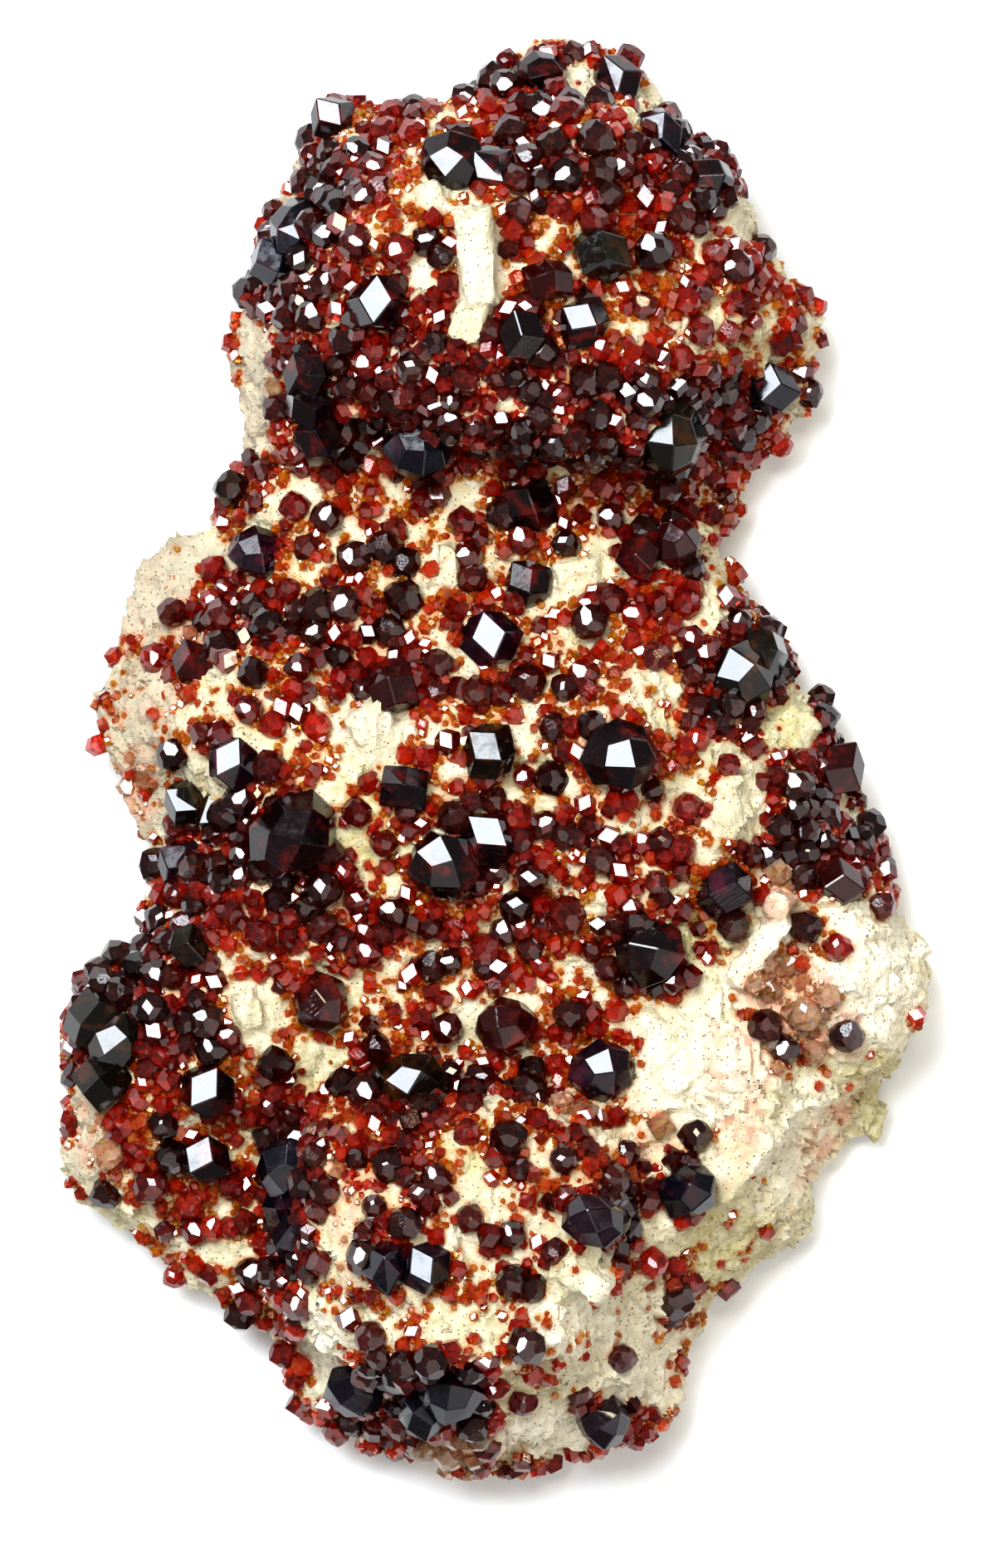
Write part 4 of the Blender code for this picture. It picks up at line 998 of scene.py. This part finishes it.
def turned_to_light(turns, places, normals):
    """Turns each crystal a little, so that its best placed face mirrors the key light into the camera."""
    to_light = KEY_PLACE - places
    to_eye = EYE_PLACE - places
    aims = to_light / np.linalg.norm(to_light, axis=1, keepdims=True)
    aims += to_eye / np.linalg.norm(to_eye, axis=1, keepdims=True)
    aims /= np.linalg.norm(aims, axis=1, keepdims=True)
    facing = np.einsum("nij,kj->nki", turns, normals)
    best = np.einsum("nki,ni->nk", facing, aims).argmax(axis=1)
    chosen = facing[np.arange(len(turns)), best]
    axis = np.cross(chosen, aims)
    cosine = np.einsum("ni,ni->n", chosen, aims)
    cross = np.zeros((len(turns), 3, 3))
    cross[:, 0, 1], cross[:, 0, 2], cross[:, 1, 2] = -axis[:, 2], axis[:, 1], -axis[:, 0]
    cross -= cross.transpose(0, 2, 1).copy()
    bring = np.eye(3) + cross + (cross @ cross) / (1.0 + cosine)[:, None, None]
    return bring @ turns


def mesh_of(name, points, faces):
    """A flat shaded object of these points and triangles."""
    mesh = bpy.data.meshes.new(name)
    mesh.vertices.add(len(points))
    put_at(mesh.vertices, points)
    mesh.loops.add(faces.size)
    mesh.loops.foreach_set("vertex_index", faces.ravel().astype(np.int32))
    mesh.polygons.add(len(faces))
    mesh.polygons.foreach_set("loop_start", np.arange(0, faces.size, 3, dtype=np.int32))
    mesh.update(calc_edges=True)
    mesh.shade_flat()
    obj = bpy.data.objects.new(name, mesh)
    bpy.context.scene.collection.objects.link(obj)
    return obj


def keep_colour(mesh, name, colours):
    """Keeps a colour for each triangle of a mesh."""
    corners = np.clip(np.repeat(colours, 3, axis=0), 0.0, 0.95)
    corners = np.column_stack((corners, np.ones(len(corners))))
    layer = mesh.color_attributes.new(name=name, type="FLOAT_COLOR", domain="CORNER")
    layer.data.foreach_set("color", corners.astype(np.float32).ravel())


def keep_value(mesh, name, domain, values):
    """Keeps a value for each corner or point of a mesh."""
    layer = mesh.attributes.new(name=name, type="FLOAT", domain=domain)
    layer.data.foreach_set("value", values.astype(np.float32))


def joined_crystals(name, models, rows, bright_share, draw):
    """One mesh of many crystals, each a copy of a model with its own place, size, turn and tint."""
    rows = np.array(rows)
    places, sizes, tints, glows, frosts = rows[:, :3], rows[:, 3], rows[:, 4:7], rows[:, 7:10], rows[:, 10]
    turns = turn_matrices(draw.normal(size=(len(rows), 4)))
    bright = draw.random(len(rows)) < bright_share
    all_points, all_faces, all_tints, all_glows, all_frosts = [], [], [], [], []
    start = 0
    for index, (corners, faces) in enumerate(models):
        chosen = np.arange(len(rows)) % len(models) == index
        count = int(chosen.sum())
        lit = chosen & bright
        turns[lit] = turned_to_light(turns[lit], places[lit], face_normals(corners, faces))
        points = np.einsum("nij,kj->nki", turns[chosen], corners) * (sizes[chosen, None, None] / 2.0)
        points += places[chosen][:, None, :]
        offsets = start + np.arange(count) * len(corners)
        # Painted light: each face's tint and glow is made lighter or darker at random, standing in for inner
        # reflections
        painted_face_light = draw.uniform(0.55, 1.7, size=(count, len(faces), 1))
        all_points.append(points.reshape(-1, 3))
        all_faces.append((faces[None, :, :] + offsets[:, None, None]).reshape(-1, 3))
        all_tints.append((tints[chosen][:, None, :] * painted_face_light).reshape(-1, 3))
        all_glows.append((glows[chosen][:, None, :] * painted_face_light).reshape(-1, 3))
        all_frosts.append(np.repeat(frosts[chosen], len(faces)))
        start += count * len(corners)
    obj = mesh_of(name, keep_in_box(np.concatenate(all_points)), np.concatenate(all_faces))
    keep_colour(obj.data, "tint", np.concatenate(all_tints))
    keep_colour(obj.data, "glow", np.concatenate(all_glows))
    keep_value(obj.data, "frost", "CORNER", np.repeat(np.concatenate(all_frosts), 3))
    return obj


class Growth:
    """Places garnets on the rock so that they stand close but don't swallow one another."""

    def __init__(self, settings):
        self.settings = settings
        self.rng = random.Random(GROWTH_SEED)
        self.solids = [tree_of(obj.data) for name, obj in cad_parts.items() if name != ROCK_NODE]
        self.rows = {"tiny": [], "small": [], "middling": []}
        self.cells = {}

    def key(self, place):
        return tuple(int(math.floor(part / GROWTH_CELL)) for part in place)

    def free(self, place, radius, nearness):
        """Whether no garnet stands too near."""
        column, row, layer = self.key(place)
        for cell in itertools.product((-1, 0, 1), repeat=3):
            for x, y, z, other in self.cells.get((column + cell[0], row + cell[1], layer + cell[2]), ()):
                reach = nearness * (radius + other)
                if (x - place[0]) ** 2 + (y - place[1]) ** 2 + (z - place[2]) ** 2 < reach * reach:
                    return False
        return True

    def swallowed(self, place, radius):
        """Whether a large garnet hides this place."""
        for solid in self.solids:
            near, normal, _, gap = solid.find_nearest(place, SOLID_REACH)
            if near is not None and ((place - near).dot(normal) < 0.0 or gap < 0.05 * radius):
                return True
        return False

    def add(self, group, place, size, crowd, dark, blush):
        """Grows one garnet here and gives it its looks."""
        self.cells.setdefault(self.key(place), []).append((*place, size / 2.0))
        self.rows[group].append((*place, size, *looks_of(self.rng, size, crowd, dark, blush, self.settings)))


def looks_of(rng, size, crowd, dark, blush, settings):
    """Tint, glow and frosting of one garnet: paler the smaller it is, and darker in a crowd."""
    stops = (
        (0.9, settings.orange), (1.4, BRIGHT_RED), (2.2, settings.red), (3.4, settings.deep),
        (5.2, settings.dark),
    )
    # Dark stretches, which are partly painted shade as in the band under the head, darken the garnets in them
    measure = size / MM * math.exp(rng.gauss(0.0, 0.22)) + 1.15 * dark + 0.8 * max(0.0, crowd)
    low = stops[0]
    for high in stops[1:]:
        if measure < high[0]:
            break
        low = high
    share = min(1.0, max(0.0, (measure - low[0]) / max(0.01, high[0] - low[0])))
    light = math.exp(rng.gauss(0.0, 0.25))
    tint = Vector([light * a ** (1.0 - share) * b**share for a, b in zip(low[1], high[1])])
    frost = rng.random() ** 3
    if measure > 2.0 and rng.random() < 0.25:
        frost = rng.uniform(0.5, 1.0)
        tint = tint.lerp(FROST_GREY, 0.6 * frost)
    if rng.random() < blush:
        tint = tint.lerp(PALE_ROSE, rng.uniform(0.5, 0.95))
        frost = max(frost, 0.6)
    # Painted glow: a brighter copy of the tint, as of light through the crystal
    glow = (2.8 * tint[0] + 0.05, 3.6 * tint[1] + 0.004, 1.5 * tint[2])
    return (*tint, *glow, frost)


def grow_listed(growth, tree):
    """Sets the listed middling garnets on the rock."""
    flat = np.array(MIDDLING_MM)[:, :2]
    dark, blush = patches(flat, DARK_AND_SHADE_MM, PATCH_EDGE), patches(flat, BLUSH_MM, PATCH_EDGE)
    for index, (x, y, size) in enumerate(MIDDLING_MM):
        hit, normal, _, _ = tree.ray_cast(Vector((x * MM, y * MM, ABOVE)), -UP)
        if hit is not None:
            place = hit + (normal + UP).normalized() * (LISTED_RISE * size * MM)
            place = Vector(keep_in_box(place, BOX_SHARE * size * MM))
            growth.add("middling", place, size * MM, LISTED_CROWD, dark[index], blush[index])


def face_values(mesh, name):
    """The middles or the normals of a mesh's faces as rows."""
    values = np.empty(len(mesh.polygons) * 3, dtype=np.float32)
    mesh.polygons.foreach_get(name, values)
    return values.reshape(-1, 3)


def grow_by_rule(growth, mesh, draw):
    """Grows the other garnets in clusters over the rock, with few on its walls and its bare stretches."""
    centres, normals = face_values(mesh, "center"), face_values(mesh, "normal")
    areas = np.array([polygon.area for polygon in mesh.polygons])
    flat = centres[:, :2].astype(float) / MM
    bare = np.maximum(patches(flat, BARE_MM, BARE_EDGE), blade_cover(flat))
    # Dark stretches, partly painted shade
    dark = patches(flat, DARK_AND_SHADE_MM, PATCH_EDGE)
    blush = patches(flat, BLUSH_MM, PATCH_EDGE)
    dense = patches(flat, DENSE_MM, PATCH_EDGE)
    crowd = crowding(flat)
    upper = (centres[:, 2] > GROWS_OVER * MM) & (normals[:, 2] > -0.6)
    wall = smooth_step((normals[:, 2] + 0.3) / 0.7) * smooth_step((centres[:, 2] / MM - GROWS_OVER) / 4.0)
    ground = areas * upper * (0.12 + 0.88 * wall)
    for tries, low, high, group, nearness, gap_from, bareness, gloom in GROWTH_STAGES:
        clustered = smooth_step((crowd + 0.4 * dense + 0.5 * dark - gap_from) / 0.28)
        chance = ground * clustered * (1.0 - bareness * bare) ** 2 * (1.0 + gloom * dark)
        chance /= chance.sum()
        for index in draw.choice(len(areas), size=tries, p=chance):
            size = (low + (high - low) * growth.rng.random() ** 1.5) * MM
            rise = growth.rng.uniform(*GROWN_RISE) * size
            place = Vector(centres[index]) + Vector(normals[index]) * rise
            place = Vector(keep_in_box(place, BOX_SHARE * size))
            if growth.free(place, size / 2.0, nearness) and not growth.swallowed(place, size / 2.0):
                growth.add(group, place, size, crowd[index], dark[index], blush[index])


class GARNET_OT_small(bpy.types.Operator):
    """Grow the small and middling garnets over the rock"""

    bl_idname = "garnet.small"
    bl_label = "Small garnets"

    def execute(self, context):
        rock = bpy.data.objects[ROCK_NAME]
        draw = np.random.default_rng(DRAW_SEED)
        growth = Growth(context.scene.garnet_crystals)
        grow_listed(growth, tree_of(rock.data))
        grow_by_rule(growth, rock.data, draw)
        models = {
            group: [
                crystal_model(f"{group}_crystal", 10 * number + kind, face_directions(faces), spread)
                for kind in range(CRYSTAL_KINDS)
            ]
            for number, (group, faces, spread) in enumerate(CRYSTAL_FORMS)
        }
        material = tinted_garnet_material()
        for group, rows in growth.rows.items():
            obj = joined_crystals(f"{group}_garnets", models[group], rows, BRIGHT_SHARES[group], draw)
            obj.data.materials.append(material)
            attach(obj, BODY)
        mark_contact(rock.data, growth)
        return {"FINISHED"}


def mark_contact(mesh, growth):
    """Keeps on the rock how near each point is to a garnet, how shut in it lies for the painted shade of the
    hollows, and its stretches of blush, of khaki that is partly painted shade, of painted shade and of
    painted light.
    """
    places = places_of(mesh)
    near = np.zeros(len(places))
    for index, place in enumerate(places):
        found = growth.cells.get(growth.key(place), ())
        gap = min((math.dist(other[:3], place) - other[3] for other in found), default=FAR)
        near[index] = max(0.0, 1.0 - max(0.0, gap) / CONTACT_REACH)
    tree = tree_of(mesh)
    # Painted shade: rays from each point find how shut in it is
    hollow_shade = np.zeros(len(places))
    for index, vertex in enumerate(mesh.vertices):
        aim = (vertex.normal + HOLLOW_LEAN).normalized()
        hit, _, _, gap = tree.ray_cast(vertex.co + vertex.normal * (0.1 * MM), aim, HOLLOW_REACH)
        if hit is not None:
            hollow_shade[index] = 1.0 - gap / HOLLOW_REACH
    flat = places[:, :2] / MM
    marks = {
        "contact": near,
        "hollow_shade": hollow_shade,
        "blush": patches(flat, BLUSH_MM, 0.7),
        "khaki_and_shade": patches(flat, KHAKI_AND_SHADE_MM, 0.8),
        "clean_and_painted_light": patches(flat, CLEAN_AND_PAINTED_LIGHT_MM, 0.8),
        "dull_shade": patches(flat, DULL_SHADE_MM, 0.8),
    }
    for name, values in marks.items():
        keep_value(mesh, name, "POINT", values)


class GARNET_OT_large(bpy.types.Operator):
    """Give the large garnets their glassy finish and worn edges"""

    bl_idname = "garnet.large"
    bl_label = "Large garnets"

    def execute(self, context):
        finishes = {cast: garnet_material(f"{cast}_garnet", *looks) for cast, looks in CASTS.items()}
        casts = {name: cast for cast, names in CAST_NODES.items() for name in names}
        for name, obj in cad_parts.items():
            if name == ROCK_NODE:
                continue
            for slot in obj.material_slots:
                slot.material = finishes[casts.get(name, "dark")]
            weld = obj.modifiers.new("weld", "WELD")
            weld.merge_threshold = WELD_GAP
            edges = obj.modifiers.new("worn edges", "BEVEL")
            edges.width = WORN_EDGE
            edges.segments = 1
            edges.limit_method = "ANGLE"
            edges.angle_limit = math.radians(WORN_EDGE_ANGLE)
        return {"FINISHED"}


def add_light(name, away, distance, side, watts, colour):
    """A square soft light that faces the plate."""
    bpy.ops.object.select_all(action="DESELECT")
    bpy.ops.object.light_add(type="AREA", location=away * distance)
    light = bpy.context.object
    light.name = name
    light.data.shape = "SQUARE"
    light.data.size = side
    light.data.energy = watts
    light.data.color = colour
    light.rotation_euler = away.to_track_quat("Z", "Y").to_euler()


class GARNET_OT_stage(bpy.types.Operator):
    """Set up the pale floor, the soft lights and the camera"""

    bl_idname = "garnet.stage"
    bl_label = "Stage"

    def execute(self, context):
        settings = context.scene.garnet_studio
        bpy.ops.object.select_all(action="DESELECT")
        bpy.ops.mesh.primitive_plane_add(size=FLOOR_SIZE)
        floor = bpy.context.object
        floor.name = "floor"
        maker = Maker("pale_floor")
        maker.surface(Base_Color=FLOOR_COLOUR, Roughness=0.9)
        floor.data.materials.append(maker.material)

        world = bpy.data.worlds.new("room")
        world.use_nodes = True
        background = world.node_tree.nodes["Background"]
        background.inputs["Color"].default_value = ROOM_COLOUR
        background.inputs["Strength"].default_value = settings.ambient
        context.scene.world = world
        add_light("key_softbox", KEY_SIDE, KEY_DISTANCE, KEY_SIZE, settings.key_watts, KEY_COLOUR)
        add_light("fill_card", FILL_SIDE, FILL_DISTANCE, FILL_SIZE, settings.fill_watts, FILL_COLOUR)
        add_light("warm_card", WARM_SIDE, WARM_DISTANCE, WARM_SIZE, WARM_WATTS, WARM_COLOUR)

        bpy.ops.object.camera_add(location=(*PHOTO_MIDDLE, settings.distance + PLATE_LEVEL))
        camera = bpy.context.object
        camera.data.sensor_width = SENSOR
        camera.data.lens = SENSOR * settings.distance / (PHOTO_SIZE[1] * PIXEL)
        context.scene.camera = camera
        context.scene.view_settings.view_transform = "Standard"
        context.scene.view_settings.look = "High Contrast"
        return {"FINISHED"}


class GARNET_PT_plate(bpy.types.Panel):
    """Sidebar panel of the garnet plate"""

    bl_label = "Garnet plate"
    bl_space_type = "VIEW_3D"
    bl_region_type = "UI"
    bl_category = "Garnet plate"

    def draw(self, context):
        layout = self.layout
        for group in ("garnet_rock", "garnet_crystals", "garnet_studio"):
            settings = getattr(context.scene, group)
            for name in settings.__annotations__:
                layout.prop(settings, name)
        for operator in OPERATORS:
            layout.operator(operator.bl_idname)


OPERATORS = (GARNET_OT_rock, GARNET_OT_small, GARNET_OT_large, GARNET_OT_stage)
CLASSES = (GarnetSettings, RockSettings, StudioSettings, *OPERATORS, GARNET_PT_plate)


def register():
    """Makes the operators, the panel and the settings known to Blender."""
    for item in CLASSES:
        bpy.utils.register_class(item)
    bpy.types.Scene.garnet_crystals = bpy.props.PointerProperty(type=GarnetSettings)
    bpy.types.Scene.garnet_rock = bpy.props.PointerProperty(type=RockSettings)
    bpy.types.Scene.garnet_studio = bpy.props.PointerProperty(type=StudioSettings)


def unregister():
    """Takes them out again."""
    del bpy.types.Scene.garnet_studio
    del bpy.types.Scene.garnet_rock
    del bpy.types.Scene.garnet_crystals
    for item in reversed(CLASSES):
        bpy.utils.unregister_class(item)


def main():
    register()
    bpy.ops.garnet.rock()
    bpy.ops.garnet.small()
    bpy.ops.garnet.large()
    bpy.ops.garnet.stage()


if __name__ == "__main__":
    main()
